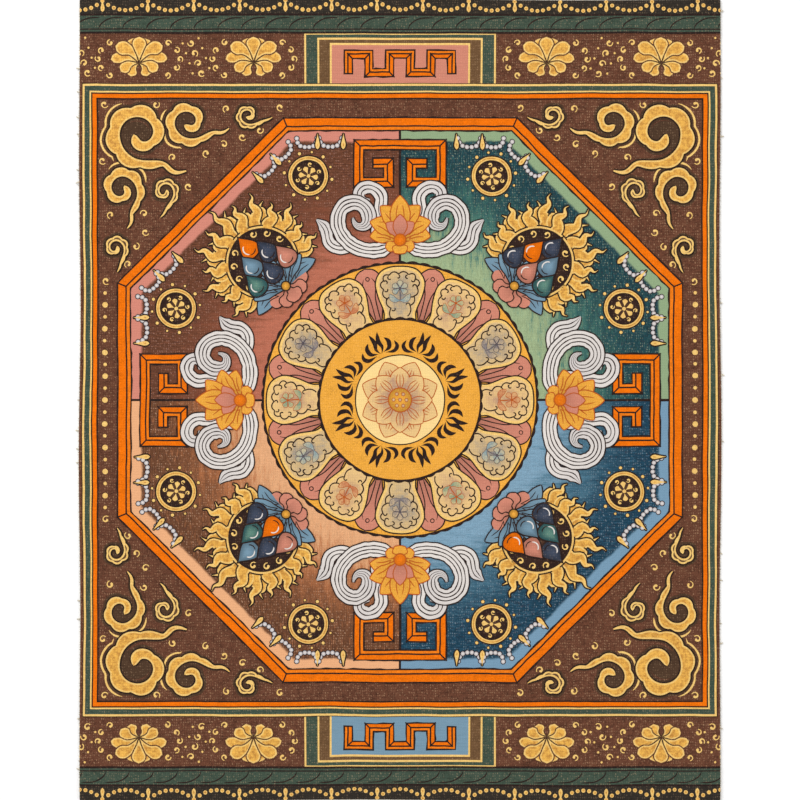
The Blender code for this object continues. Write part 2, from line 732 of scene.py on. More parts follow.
class Recipe:
    """One material's nodes."""

    def __init__(self, name):
        self.material = bpy.data.materials.new(name)
        self.material.use_nodes = True
        self.tree = self.material.node_tree
        self.shader = self.tree.nodes["Principled BSDF"]

    def node(self, kind, settings, inputs, output=0):
        """A node of a type, with its settings, the values or links of its sockets, and the output in use."""
        made = self.tree.nodes.new(kind)
        for key, value in settings.items():
            setattr(made, key, value)
        for key, value in inputs.items():
            self.feed(made.inputs[key], value)
        return Value(self, made.outputs[output])

    def feed(self, socket, value):
        if isinstance(value, Value):
            self.tree.links.new(value.socket, socket)
        elif socket.type == "RGBA":
            socket.default_value = (*value[:3], 1.0)
        else:
            socket.default_value = value

    def math(self, operation, *values):
        return self.node("ShaderNodeMath", {"operation": operation}, dict(enumerate(values)))

    def place(self):
        return self.node("ShaderNodeTexCoord", {}, {}, "Object")

    def stretched(self, vector, *factors):
        return self.node("ShaderNodeVectorMath", {"operation": "MULTIPLY"}, {0: vector, 1: factors})

    def part(self, vector, axis):
        return self.node("ShaderNodeSeparateXYZ", {}, {0: vector}, axis)

    def joined(self, x, y, z=0.0):
        return self.node("ShaderNodeCombineXYZ", {}, {0: x, 1: y, 2: z})

    def noise(self, vector, scale, detail=2.0, roughness=0.5):
        inputs = {"Vector": vector, "Scale": scale, "Detail": detail, "Roughness": roughness}
        return self.node("ShaderNodeTexNoise", {}, inputs)

    def chance(self, vector):
        return self.node("ShaderNodeTexWhiteNoise", {"noise_dimensions": "3D"}, {"Vector": vector})

    def step(self, value, low, high):
        """0 below low and 1 above high, smooth between."""
        inputs = {"Value": value, "From Min": low, "From Max": high}
        return self.node("ShaderNodeMapRange", {"interpolation_type": "SMOOTHSTEP"}, inputs)

    def mix(self, factor, a, b, blend="MIX"):
        """Two colours, mixed by a factor."""
        settings = {"data_type": "RGBA", "blend_type": blend}
        return self.node("ShaderNodeMix", settings, {0: factor, 6: a, 7: b}, 2)

    def toned(self, base, tone):
        """A colour times a number."""
        return self.mix(1.0, base, self.joined(tone, tone, tone), "MULTIPLY")

    def shade(self):
        """How deep into its shading a point of a painted shape lies."""
        return self.node("ShaderNodeAttribute", {"attribute_name": "shade"}, {}, "Fac")

    def finish(self, base, roughness, height, depth, metallic=0.0, specular=0.08):
        """Feeds the shader, with a height pattern as its bump, of a depth in metres."""
        bump = self.node("ShaderNodeBump", {}, {"Strength": 1.0, "Distance": depth, "Height": height})
        self.feed(self.shader.inputs["Base Color"], base)
        self.feed(self.shader.inputs["Roughness"], roughness)
        self.feed(self.shader.inputs["Metallic"], metallic)
        self.feed(self.shader.inputs["Specular IOR Level"], specular)
        self.feed(self.shader.inputs["Normal"], bump)
        return self.material


# The patterns in the paints: their scales in waves per metre. A matt paint's brush has its scales across and up
# the picture, a field's across and along the hatching.
PIGMENT_SCALE = 3600.0
MATT_PATCHES = 620.0
FIELD_PATCHES = 260.0
GOLD_GRAINS = 3400.0
GOLD_PATCHES = 1150.0
FLECK_SCALE = 2300.0
DRY_SCALE = 2600.0
MATT_BRUSH = (230.0, 2100.0)
FINE_BRUSH = (3900.0, 560.0)
BROAD_BRUSH = (1000.0, 140.0)

# How far from the middle of the court's wall a field's plain strip gives way to its fade, in metres
STRIP_END = (0.0034, 0.0041)

# The depth of each finish's relief, in metres
RELIEF = {
    "matt": 0.000045,
    "field": 0.000055,
    "gold": 0.000040,
    "ink": 0.000020,
    "cotton": 0.000090,
    "floor": 0.00001,
}

# Where paint is worn thin, dark flecks in the fields, the painted glint on grains of gold, and dry ink
WORN_PALE = linear(240, 200, 156)
FIELD_PALE = linear(222, 214, 200)
FLECK_TINT = linear(78, 52, 56)
PAINTED_GOLD_GLINT = linear(255, 220, 130)
DRY_TINT = linear(128, 92, 74)


def darker(tint, share):
    """A colour times a share."""
    return tuple(part * share for part in tint)


def blended(a, b, share):
    """A colour between two."""
    return tuple(x + (y - x) * share for x, y in zip(a, b))


def woven(name):
    """A recipe on the plain weave: it, its place, the threads' crowns, 1 on top and 0 between threads, and a
    random number for each crossing."""
    recipe = Recipe(name)
    size = sizes()
    place = recipe.place()
    sway = recipe.noise(place, 95.0, 1.0) * 1.6
    slubs = recipe.noise(place, 1100.0, 2.0) * 1.3
    across = recipe.part(place, "X") / size.thread_across + sway + slubs
    up = recipe.part(place, "Y") / size.thread_up + sway * 0.7 - slubs
    upright = abs(recipe.math("SINE", across * math.pi))
    level = abs(recipe.math("SINE", up * math.pi))
    column = recipe.math("FLOOR", across)
    row = recipe.math("FLOOR", up)
    over = recipe.math("PINGPONG", column + row, 1.0)
    crown = upright ** (0.75 + over * 0.7) * level ** (1.45 - over * 0.7)
    return recipe, place, crown, recipe.chance(recipe.joined(column, row, 0.5))


def worn_crowns(recipe, base, crown, chance, pigment, patches, amount, pale):
    """A paint worn thin on the crowns of the threads, more in some patches than in others."""
    rubbed = recipe.step(chance * 1.1 + patches * 0.8 + (pigment - 0.5) * 1.5, 0.70, 1.65)
    return recipe.mix(recipe.step(crown, 0.42, 0.95) * rubbed * (amount * 1.5), base, pale)


def matt_paint(name, tint, deep, grain, painted_thread_shade, specks, brush, mottle=0.0):
    """Mineral paint bound with glue: matt, grainy, thin enough that the cloth's threads show, with painted
    shade darkening the hollows between them.
    """
    recipe, place, crown, chance = woven(name)
    pigment = recipe.noise(place, PIGMENT_SCALE, 2.0, 0.7)
    patches = recipe.noise(place, MATT_PATCHES, 3.0, 0.6)
    strokes = recipe.noise(recipe.stretched(place, *MATT_BRUSH, 1.0), 1.0, 2.0)
    depth = recipe.shade() + (strokes - 0.5) * (brush * 2) + (patches - 0.5 + (pigment - 0.5) * 0.6) * mottle
    base = recipe.mix(recipe.step(depth, 0.05, 1.0), tint, deep)
    tone = 1 + (pigment - 0.5) * (grain * 2) + (patches - 0.5) * grain + (strokes - 0.5) * (brush * 2)
    # Painted shade: darker between the threads, in the weave's hollows
    tone = tone - (1 - crown) * painted_thread_shade
    base = recipe.toned(base, tone)
    pale = blended(tint, WORN_PALE, 0.6)
    base = worn_crowns(recipe, base, crown, chance, pigment, patches, specks, pale)
    return recipe.finish(base, 0.78 + (pigment - 0.5) * 0.2, crown * 0.8 + pigment * 0.35, RELIEF["matt"])


def field_paint(name, dark, middle, near, strip, upright):
    """A field of the court: light round the petal ring, dark towards the wall, hatched one way."""
    middle, near, strip = (linear(*seen) for seen in (middle, near, strip))
    recipe, place, crown, chance = woven(name)
    size = sizes()
    pigment = recipe.noise(place, PIGMENT_SCALE, 2.0, 0.7)
    patches = recipe.noise(place, FIELD_PATCHES, 3.0, 0.6)
    order = 1 if upright else -1
    strokes = recipe.noise(recipe.stretched(place, *FINE_BRUSH[::order], 1.0), 1.0, 2.0, 0.6)
    sweeps = recipe.noise(recipe.stretched(place, *BROAD_BRUSH[::order], 1.0), 1.0, 2.0, 0.6)
    x = abs(recipe.part(place, "X"))
    y = abs(recipe.part(place, "Y"))
    radius = recipe.math("SQRT", x * x + y * y)
    hatch = (strokes - 0.5) * 0.018 + (sweeps - 0.5) * 0.016 + (patches - 0.5) * 0.004
    fade = recipe.step(radius + hatch, size.ring * 0.98, size.court * 0.90)
    base = recipe.mix(recipe.step(fade, 0.0, 0.45), near, middle)
    base = recipe.mix(recipe.step(fade + (strokes - 0.5) * 0.6, 0.42, 1.0), base, dark)
    base = recipe.mix(recipe.step(strokes * 0.7 + sweeps * 0.3, 0.50, 0.70) * 0.42, base, middle)
    slanted = (x + y) * math.sqrt(0.5)
    to_wall = size.court - recipe.math("MAXIMUM", recipe.math("MAXIMUM", x, y), slanted)
    strip_edge = to_wall + (patches - 0.5) * 0.0010 + (strokes - 0.5) * 0.0006
    inside = recipe.step(strip_edge, *STRIP_END)
    flecks = recipe.step(recipe.noise(place, FLECK_SCALE, 2.0, 0.7), 0.52, 0.74) * fade
    base = recipe.mix(flecks * 0.45, base, FLECK_TINT)
    base = recipe.mix(1 - inside, base, strip)
    # Grain and brush tone, with painted shade darkening the hollows between the threads
    grain = (pigment - 0.5) * 1.1 + (strokes - 0.5) * 1.7 - (1 - crown) * 0.10
    tone = 1 + grain * (0.06 + inside * (0.44 + fade * 0.56))
    base = recipe.toned(base, tone)
    pale = blended(near, FIELD_PALE, 0.3)
    worn = 0.02 + inside * (0.10 + fade * 0.15)
    base = worn_crowns(recipe, base, crown, chance, pigment, patches, worn, pale)
    return recipe.finish(base, 0.80 + (pigment - 0.5) * 0.2, crown + pigment * 0.3, RELIEF["field"])


def gold_paint(name, tint, deep, mottle):
    """Gold paint: grains with a painted glint over a darker ochre, and painted shade between the threads."""
    recipe, place, crown, chance = woven(name)
    grains = recipe.noise(place, GOLD_GRAINS, 2.0, 0.75)
    patches = recipe.noise(place, GOLD_PATCHES, 3.0, 0.7)
    depth = recipe.step(patches + recipe.shade() * 0.12 + (grains - 0.5) * 0.3, 0.40, 0.72) * mottle
    base = recipe.mix(depth, tint, deep)
    # Painted shade: darker between the threads
    tone = 1 + (grains - 0.5) * 0.5 - (1 - crown) * 0.14
    base = recipe.toned(base, tone)
    # Painted glint: pale gold mixed into the colour on some grains, which are also smoother
    painted_glint_and_gloss = recipe.step(grains, 0.58, 0.80) * recipe.step(chance, 0.35, 0.9) * 0.55
    base = recipe.mix(painted_glint_and_gloss, base, PAINTED_GOLD_GLINT)
    height = crown * 0.7 + grains * 0.5
    return recipe.finish(base, 0.52 - painted_glint_and_gloss * 0.2, height, RELIEF["gold"], metallic=0.2, specular=0.3)


def ink(name, tint, wear):
    """Ink drawn with a fine brush, thinner where the brush ran dry."""
    recipe, place, crown, chance = woven(name)
    dry = recipe.noise(place, DRY_SCALE, 3.0, 0.7)
    base = recipe.mix(recipe.step(dry + (chance - 0.5) * 0.15, 0.52, 0.80) * wear, tint, DRY_TINT)
    return recipe.finish(base, 0.68, crown * 0.6 + dry * 0.4, RELIEF["ink"])


def bare_cotton(name, tint):
    """Primed cotton without paint: chalky over the threads, with painted shade greying it between them."""
    recipe, place, crown, chance = woven(name)
    fibres = recipe.noise(recipe.stretched(place, 1.0, 1.0, 3.0), 7000.0, 3.0, 0.7)
    stains = recipe.noise(place, 60.0, 4.0, 0.6)
    # Painted shade: greyer between the threads, in the weave's hollows
    base = recipe.mix(recipe.step(crown, 0.0, 0.5), darker(tint, 0.52), tint)
    base = recipe.mix(recipe.step(stains, 0.45, 0.75) * 0.35, base, darker(tint, 0.78))
    tone = 1 + (fibres - 0.5) * 0.22 + (chance - 0.5) * 0.10
    base = recipe.toned(base, tone)
    return recipe.finish(base, 0.88, crown + fibres * 0.25, RELIEF["cotton"], specular=0.2)


def floor_finish(name):
    """A plain pale surface with a very faint unevenness."""
    recipe = Recipe(name)
    cloudy = recipe.noise(recipe.place(), 3.0, 3.0)
    base = recipe.mix(cloudy, linear(254, 254, 254), linear(251, 251, 252))
    return recipe.finish(base, 0.9, recipe.noise(recipe.place(), 900.0), RELIEF["floor"])


def paint(name):
    """The material of a paint, made when it's first asked for."""
    return bpy.data.materials.get(name) or make_paint(name)


def make_paint(name):
    tints = bpy.context.scene.paint_colours
    # Each its colour, the same in the shade, how much grain, painted shade between the threads, specks and
    # brush show, how mottled it is
    matt = {
        "ground": (tints.ground, linear(66, 52, 32), 0.95, 0.14, 0.26, 0.26, 1.2),
        "orange": (tints.orange, darker(tints.orange, 0.80), 0.46, 0.09, 0.03, 0.12, 0.9),
        "orange_light": (tints.orange_light, darker(tints.orange_light, 0.78), 0.46, 0.09, 0.05, 0.12, 0.9),
        "yellow": (tints.yellow, darker(tints.yellow, 0.58), 0.50, 0.11, 0.14, 0.08, 1.1),
        "cream": (tints.cream, linear(182, 142, 118), 0.18, 0.12, 0.10, 0.06, 1.4),
        "sage": (linear(222, 188, 134), linear(132, 132, 132), 0.22, 0.14, 0.10, 0.06, 1.4),
        "halo_cream": (linear(250, 216, 146), linear(236, 184, 96), 0.20, 0.08, 0.10, 0.05, 0.8),
        "pink": (tints.pink, darker(tints.pink, 0.66), 0.10, 0.08, 0.12, 0.10),
        "white": (tints.white, linear(186, 180, 182), 0.06, 0.08, 0.04, 0.05),
        "slate": (tints.slate, darker(tints.slate, 0.50), 0.30, 0.10, 0.10, 0.14),
        "sky": (tints.sky, darker(tints.sky, 0.55), 0.08, 0.05, 0.03, 0.12),
        "teal": (linear(96, 136, 122), linear(44, 82, 84), 0.20, 0.08, 0.08, 0.14),
        "green": (tints.green, darker(tints.green, 0.65), 0.60, 0.14, 0.20, 0.16, 0.8),
        "brown": (linear(112, 82, 54), linear(72, 48, 34), 0.50, 0.14, 0.18, 0.16, 0.8),
        "grey": (linear(104, 94, 98), linear(74, 66, 72), 0.40, 0.12, 0.16, 0.12),
        "black_strip": (linear(52, 46, 40), linear(34, 28, 26), 0.50, 0.20, 0.12, 0.14),
        "halo": (linear(84, 56, 42), linear(48, 32, 28), 0.50, 0.14, 0.10, 0.16),
        "shadow": (linear(80, 58, 42), linear(64, 46, 34), 0.50, 0.14, 0.16, 0.16, 0.8),
        "wash_blue": (linear(142, 162, 164), linear(196, 184, 150), 0.20, 0.14, 0.12, 0.10, 1.8),
        "wash_red": (linear(200, 122, 82), linear(220, 170, 118), 0.20, 0.14, 0.12, 0.10, 1.8),
        "wash_grey": (linear(132, 124, 126), linear(196, 172, 138), 0.20, 0.14, 0.12, 0.10, 1.8),
        "wash_green": (linear(136, 158, 130), linear(196, 180, 134), 0.20, 0.14, 0.12, 0.10, 1.8),
    }
    if name in matt:
        return matt_paint(name, *matt[name])
    # Each its dark, middle and light colour, the strip along the wall, and if it's hatched upright
    fields = {
        "field_red": (tints.field_red, (134, 78, 56), (186, 110, 86), (209, 134, 116), False),
        "field_green": (tints.field_green, (70, 116, 106), (158, 176, 134), (144, 166, 128), True),
        "field_blue": (tints.field_blue, (76, 116, 136), (128, 162, 184), (118, 152, 176), False),
        "field_tan": (tints.field_tan, (178, 112, 72), (228, 170, 124), (232, 172, 126), True),
    }
    if name in fields:
        return field_paint(name, *fields[name])
    if name == "gold":
        return gold_paint(name, tints.gold, linear(182, 120, 46), 0.80)
    if name == "gold_rim":
        return gold_paint(name, tints.gold_rim, linear(226, 172, 88), 0.5)
    if name == "ink":
        return ink(name, tints.ink, 0.35)
    if name == "red_line":
        return ink(name, linear(178, 84, 28), 0.30)
    if name == "cotton":
        return bare_cotton(name, tints.cotton)
    if name == "floor":
        return floor_finish(name)
    raise KeyError(f"no paint is named {name}")


# Coats: the paints of a shape from the lowest up, and how far each reaches past the shape's edge, in mm

GOLD_COATS = (("ink", 0.30), ("gold_rim", 0.0), ("gold", -0.36))
HOLLOW_COATS = (("ink", 0.30), ("gold_rim", 0.0), ("brown", -0.40), ("gold_rim", -0.95))
THIN_GOLD_COATS = (("gold_rim", 0.0), ("gold", -0.30))
GAP_COATS = (("ground", 0.26), *THIN_GOLD_COATS)
PEARL_COATS = (("ink", 0.17), ("white", 0.0))
RIM_COATS = (("gold_rim", 0.0),)


def lined(name, more=0.28, line="ink"):
    """A paint with an outline under it."""
    return ((line, more), (name, 0.0))


# The thin wash of a petal's flower, and the line round it
WASHES = (("wash_blue", "grey"), ("wash_red", "red_line"), ("wash_grey", "grey"), ("wash_green", "red_line"))

# A fan's petals: how far each bends to its side, as a share of its reach, and the spacing of points along it
PETAL_BEND = 0.14
PETAL_STEP = FINE_STEP * 1.4

# Curls: how often each winds
CURL_TURNS = 0.95

# A cloud's tail and its head, which rolls up, for a cloud of size 1, and the lobes along its outer edge
CLOUD_TAIL = ((-1.85, -0.48), (-1.48, -0.70), (-1.10, -0.48), (-0.68, -0.66), (-0.10, -0.84))
CLOUD_HEAD = ((0.55, -0.58), (0.88, 0.04), (0.62, 0.66), (0.00, 0.84), (-0.50, 0.48), (-0.46, -0.04),
              (-0.06, -0.24), (0.22, 0.04))
CLOUD_LOBES = 8

# How far the dark wash reaches past a cloud, and where a thin gold line follows its outer edge: how far off,
# and from which share of its length to which
SHADOW_REACH = 0.85
ECHO_OFF = 1.05
ECHO_SPAN = (0.36, 0.60)

# Tongues of fire and jewels, in mm, and the corners of a jewel's outline
FLAME_WIDTH = 3.3
FLAME_SWAY = 0.72
FLAME_STEP = FINE_STEP * 1.2
JEWEL_WIDTH = 4.5
JEWEL_HEIGHT = 5.3
JEWEL_CORNERS = 38

# Ribbons and strings of pearls, in mm
RIBBON_LINE = 0.27
PEARL_RADIUS = 0.47
PEARL_GAP = 1.08

# How far from the middle the motifs of the court stand, in mm, and where a roundel stands beside its key
BLOSSOM_OUT = 38.8
JEWELS_OUT = 43.5
FRET_OUT = 51.6
ROUNDEL_AT = (20.0, 48.9, -22)
ROUNDEL_RADIUS = 4.3

# The disc: its pale round, and where the sprays of leaves stand on it, in mm
HALO_RADIUS = 9.6
SPRAY_OUT = 10.6

# Where the bands at the top and bottom of the picture lie: heights over the middle, in mm
BAND_FOOT = 67.4
VINE_LOW, VINE_HIGH = 69.1, 80.2
VINE_MIDDLE = (VINE_LOW + VINE_HIGH) / 2
SCALE_LOW, SCALE_HIGH = 80.2, 84.1
BEAD_LOW = 84.1
SCALE_PITCH = 5.2
GARLAND_PITCH = 10.0

# The clouds of one corner: middle of the head, size, lean in degrees, if mirrored, if only the rim is gold
CORNER_CLOUDS = (
    (51.0, 45.3, 2.9, -62, True, True),
    (46.0, 60.0, 4.6, -10, False, False),
    (60.2, 45.8, 4.4, -80, True, False),
    (57.0, 57.2, 6.6, 20, False, False),
    (33.0, 61.8, 2.7, -14, False, True),
    (61.8, 33.0, 2.7, -76, True, True),
)

# The loose curls of one corner: place and lean
CORNER_CURLS = (
    (42.4, 53.8, 60), (38.4, 55.8, 200), (34.4, 57.4, 10), (46.2, 46.6, 30), (55.9, 40.8, 150),
    (55.6, 36.6, 0), (63.2, 40.4, 80), (57.6, 33.4, 260), (64.2, 26.0, 30), (26.2, 63.9, 40),
    (37.9, 63.6, 90), (64.9, 52.2, 20), (53.2, 64.4, 300), (49.6, 53.0, 120), (64.5, 64.5, 0),
    (30.6, 58.9, 310), (59.4, 29.6, 100),
)

# A blossom's ribbons on one side, each its width and points: a flying tail, a loop, a large scroll, a loop
RIBBONS = (
    (2.5, ((-10.4, -4.9), (-13.2, -5.9), (-15.9, -4.4), (-15.9, -1.4), (-18.2, 0.6))),
    (2.6, ((-2.2, -0.6), (-4.6, 2.4), (-3.8, 5.6), (-6.6, 8.0), (-9.2, 6.8), (-8.4, 4.6), (-6.6, 5.0))),
    (3.1, ((-0.8, -4.6), (-5.0, -6.2), (-10.2, -5.2), (-13.4, -1.4), (-12.9, 3.0), (-9.6, 4.6), (-6.8, 2.4),
           (-7.2, -0.8), (-9.8, -1.0), (-10.2, 1.0))),
    (2.2, ((-1.2, -3.0), (-3.4, -3.6), (-5.4, -2.6), (-5.2, -0.6), (-3.6, -0.4))),
)

# Half of a spray of leaves on the disc, each its points and its width
SPRAY_LEAVES = (
    ((0.12, 0.2), (0.75, 1.5), (0.45, 3.0), (0.95, 5.0), 0.95),
    ((0.6, 0.4), (2.1, 0.9), (2.5, 2.3), (1.85, 3.4), 1.0),
    ((1.1, 0.1), (2.9, -0.2), (3.9, 0.6), (3.7, 1.9), 0.9),
)


# Motifs. Each takes the film, the function that places it, its lowest level and its own sizes in mm


def wall(film, path, width, level, closed=False):
    """A wall seen from above: a broad and a thin orange band between ink lines, mitred at its corners."""
    line = mm(sizes().ink_width)
    half = width / 2
    inner = half - line
    divide = inner - 0.20 * width
    run = straight(path if closed else run_on(path, line), closed, WALL_STEP)
    shaky = [line * (unsteady(p, 0.7) - 1) for p in run]
    film.band(run, [-half - more for more in shaky], [half - more for more in shaky], "ink", level, closed)
    run = straight(path, closed, WALL_STEP)
    shaky = [line * (unsteady(p, 0.6) - 1) * 0.5 for p in run]
    film.band(run, -inner, [divide - line + more for more in shaky], "orange", level + 1, closed)
    film.band(run, [divide + more for more in shaky], inner, "orange_light", level + 1, closed)
    ways = side_ways(path, closed)
    for i in range(len(path)) if closed else range(1, len(path) - 1):
        mitre = [path[i] + ways[i] * off for off in (-half, divide)]
        film.band(mitre, -line * 0.45, line * 0.45, "ink", level + 2)


def fan(film, place, level, petals, coats, form=drop_form, shade=(0.0, 1.0), vein=None):
    """A fan of petals in pairs, the outermost first, each by its angle from upright, reach and width."""
    for order, (angle, reach, width) in enumerate(petals):
        at = level + order * len(coats)
        for side in (-1, 1) if angle else (1,):
            turned = within(place, turn=-angle * side)
            sway = PETAL_BEND * reach * side if angle else 0.0
            spine = drawn(turned, (0.0, 0.35), (-sway, reach * 0.5), (0.0, reach), step=PETAL_STEP)
            film.leaf(spine, width, coats, at, form, shade)
            for off in (-0.2 * width, 0.2 * width) if vein else ():
                tip = (off * 0.6 - sway * 0.5, reach * 0.80)
                line = drawn(turned, (0.0, reach * 0.30), (off - sway, reach * 0.55), tip, step=0.45)
                film.stroke(line, 0.2, vein, at + len(coats))


def curl(film, place, level, radius, width):
    """A small spiral hook with a bead at its inner end."""
    path = spiral(radius, radius * 0.22, 200, CURL_TURNS, FINE_STEP)
    film.stroke(place(path), width * 2, "gold_rim", level, curl_form)


def cloud(film, place, level, size, coats, echoed):
    """A cloud scroll: a wavy tail that rolls up into a head with a lobed outer edge, over a dark wash."""
    path = [p * size for p in points(*CLOUD_TAIL, *CLOUD_HEAD)]
    spine = place(relaxed(smooth(path, step=FINE_STEP * 1.1), 24))
    along = shares(spine)
    swell = [size * 0.31 * min(1.0, 0.10 + s * 2.0) * (1 - 0.50 * s) for s in along]
    tip = [min(1.0, math.sqrt(max(0.0, 1 - max(0.0, (s - 0.94) / 0.06) ** 2)) + 0.1) for s in along]
    lobes = [0.66 + 0.62 * abs(math.sin(math.pi * CLOUD_LOBES * s)) ** 0.8 for s in along]
    inside = [w * t * 0.72 for w, t in zip(swell, tip)]
    outside = [w * lobe * t for w, lobe, t in zip(swell, lobes, tip)]
    # The head winds to the left of the path, unless its place is mirrored
    middle = spot_at(place, 0.15 * size, 0.0)
    lowest, after = spine[len(spine) // 2], spine[len(spine) // 2 + 1]
    winds_left = (after - lowest).cross(middle - lowest).z > 0
    low, high = (outside, inside) if winds_left else (inside, outside)
    film.patch(place(ring_of(size * 0.50, (0.12 * size, 0.02 * size), 0.6)), "shadow", MARKS)
    reach = [SHADOW_REACH * s ** 0.3 for s in along]
    lows = [-w - r for w, r in zip(low, reach)]
    highs = [w + r for w, r in zip(high, reach)]
    film.band(spine, lows, highs, "shadow", MARKS)
    if echoed:
        part = slice(round(ECHO_SPAN[0] * len(spine)), round(ECHO_SPAN[1] * len(spine)))
        off = -1 if winds_left else 1
        ways = side_ways(spine)[part]
        echo = [p + way * off * (w + ECHO_OFF) for p, way, w in zip(spine[part], ways, outside[part])]
        film.stroke(echo, 0.42, "gold_rim", CLOUD)
    for step, (paint_name, more) in enumerate(coats):
        kept = [i for i, w in enumerate(swell) if w + more > POINT_END * 2]
        if len(kept) < 4:
            break
        part = slice(kept[0], kept[-1] + 1)
        lows = [-max(w + more, POINT_END) for w in low[part]]
        highs = [max(w + more, POINT_END) for w in high[part]]
        film.band(spine[part], lows, highs, paint_name, level + step, shade=(0.6, 0.0))


def flame(film, place, level, reach):
    """A tongue of fire: a side lick that curls away, and a bent tongue with a hooked tip."""
    lick = ((0.3, 0.10), (2.2, 0.30), (2.4, 0.52), (1.5, 0.60), (2.9, 0.74))
    tongue = ((0.0, -0.8 / reach), (-1.0, 0.24), (0.6, 0.50), (-0.7, 0.72), (0.1, 0.88), (-0.5, 1.0))
    for path, width, at in ((lick, FLAME_WIDTH * 0.62, level), (tongue, FLAME_WIDTH, level + 3)):
        spine = drawn(place, *((x * FLAME_SWAY, y * reach) for x, y in path), step=FLAME_STEP)
        film.leaf(spine, width, GOLD_COATS, at, flame_form, (0.8, 0.0))


def jewel(film, place, level, paint_name):
    """A drop-shaped jewel, pointed at the top, with a light crescent on its shoulder."""
    turns = [math.tau * i / JEWEL_CORNERS for i in range(JEWEL_CORNERS)]
    sides = [-JEWEL_WIDTH * 0.66 * math.sin(t) * abs(math.sin(t / 2)) ** 1.5 for t in turns]
    outline = points(*((x, JEWEL_HEIGHT / 2 * math.cos(t)) for x, t in zip(sides, turns)))
    film.spot(place(outline), lined(paint_name, 0.30), level)
    crescent = arc(JEWEL_WIDTH * 0.27, 110, 235, (-0.02 * JEWEL_WIDTH, -JEWEL_HEIGHT * 0.10), FINE_STEP)
    film.stroke(place(crescent), 0.26, "white", level + 2)
    base = arc(JEWEL_WIDTH * 0.30, 235, 320, (0.0, -JEWEL_HEIGHT * 0.12), FINE_STEP)
    film.stroke(place(base), 0.22, "ink", level + 2)


def ribbon(film, place, path, width, level, folds):
    """A white scarf of a few folds between ink lines."""
    spine = place(relaxed(smooth(points(*path), step=FINE_STEP), 30))
    along = shares(spine)
    form = [max(width / 2 * min(1.0, 0.45 + s * 6, 0.10 + (1 - s) * 5), 0.10) for s in along]
    half = [w * unsteady(p, 0.12) for w, p in zip(form, spine)]
    film.strip(spine, [w + RIBBON_LINE for w in half], "ink", level)
    film.strip(spine, half, "white", level + 1, shade=(0.0, 0.5))
    thin = [max(0.015, 0.11 * unsteady(p, 0.5) * min(1.0, (1 - s) * 5)) for p, s in zip(spine, along)]
    for i in range(folds):
        at = (i + 1) / (folds + 1) * 2 - 1
        lows = [w * at - t for w, t in zip(half, thin)]
        highs = [w * at + t for w, t in zip(half, thin)]
        film.band(spine, lows, highs, "ink", level + 2)


def sprig(film, place, level, wash, line):
    """A flower with two leaves in a thin wash with a fine line round it, for the middle of a petal."""
    coats = lined(wash, 0.11, line)
    for side in (-1, 1):
        spine = drawn(place, (0, -1.9), (side * 1.3, -1.7), (side * 2.2, -0.5))
        film.leaf(spine, 1.15, coats, level, leaf_form, (0.0, 0.8))
    film.stroke(drawn(place, (0, -2.3), (0.15, -1.0), (0, 0.4)), 0.24, line, level)
    for angle in (-125, 125, -62, 62, 0):
        spine = drawn(within(place, 0.0, 0.75, -angle), (0, 0.1), (0, 0.9), (0, 1.75))
        film.leaf(spine, 1.15, coats, level + 2, drop_form, (0.3, 0.9))
    film.bead(spot_at(place, 0, 0.75), 0.30, ((line, 0.0),), level + 4)


def scalloped_round(film, radius, step, waves, level):
    """An ink round whose rim swings in small scallops."""
    rim = ring_of(radius, step=step)
    film.patch(rim, "ink", level, Vector())
    depth, lobes = waves
    scallops = [depth + 0.34 * abs(math.sin(math.pi * lobes * s)) for s in shares(rim)]
    film.band(rim, [-w for w in scallops], 0.3, "ink", level, closed=True)


def box(film, place, left, low, right, high, paint_name, level):
    """A filled rectangle."""
    middle, half = (low + high) / 2, (high - low) / 2
    film.band(straight(place(points((left, middle), (right, middle)))), -half, half, paint_name, level)


# The pieces, each with its operator


class Undoable:
    """What all the operators share."""

    bl_options = {"REGISTER", "UNDO"}


class THANGKA_OT_cloth(Undoable, bpy.types.Operator):
    """Lay the primed cotton cloth: a grid with the cut sides' wander, rippled, with its thickness"""

    bl_idname = "thangka.cloth"
    bl_label = "Cloth"

    def execute(self, context):
        high = CLOTH_HIGH
        across, up = (math.ceil((high[axis] - CLOTH_LOW[axis]) / (LONGEST_RUN * MM)) for axis in (0, 1))
        bm = bmesh.new()
        verts = bmesh.ops.create_grid(bm, x_segments=across, y_segments=up, size=1.0)["verts"]
        for vert in verts:
            x, y = vert.co.xy
            reach_x, reach_y = cut_side(x, y * high.y, 0), cut_side(x * high.x, y, 1)
            vert.co = (reach_x * abs(x), reach_y * abs(y), 0.0)
        corners = [vert for vert in bm.verts if len(vert.link_edges) == 2]
        bmesh.ops.bevel(
            bm, geom=corners, offset=CORNER_CUT, affect="VERTICES", segments=3, profile=0.5, material=-1
        )
        for vert in bm.verts:
            vert.co.z = cloth_top(vert.co.x, vert.co.y)
        cloth = new_piece("canvas", bm, [paint("cotton")])
        thicken(cloth, CLOTH_THICKNESS)
        rim = cloth.modifiers.new("Softened cut", "BEVEL")
        rim.width = RIM_SOFTENING
        rim.segments = 2
        rim.limit_method = "ANGLE"
        rim.angle_limit = math.radians(50)
        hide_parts("painted_canvas")
        return {"FINISHED"}


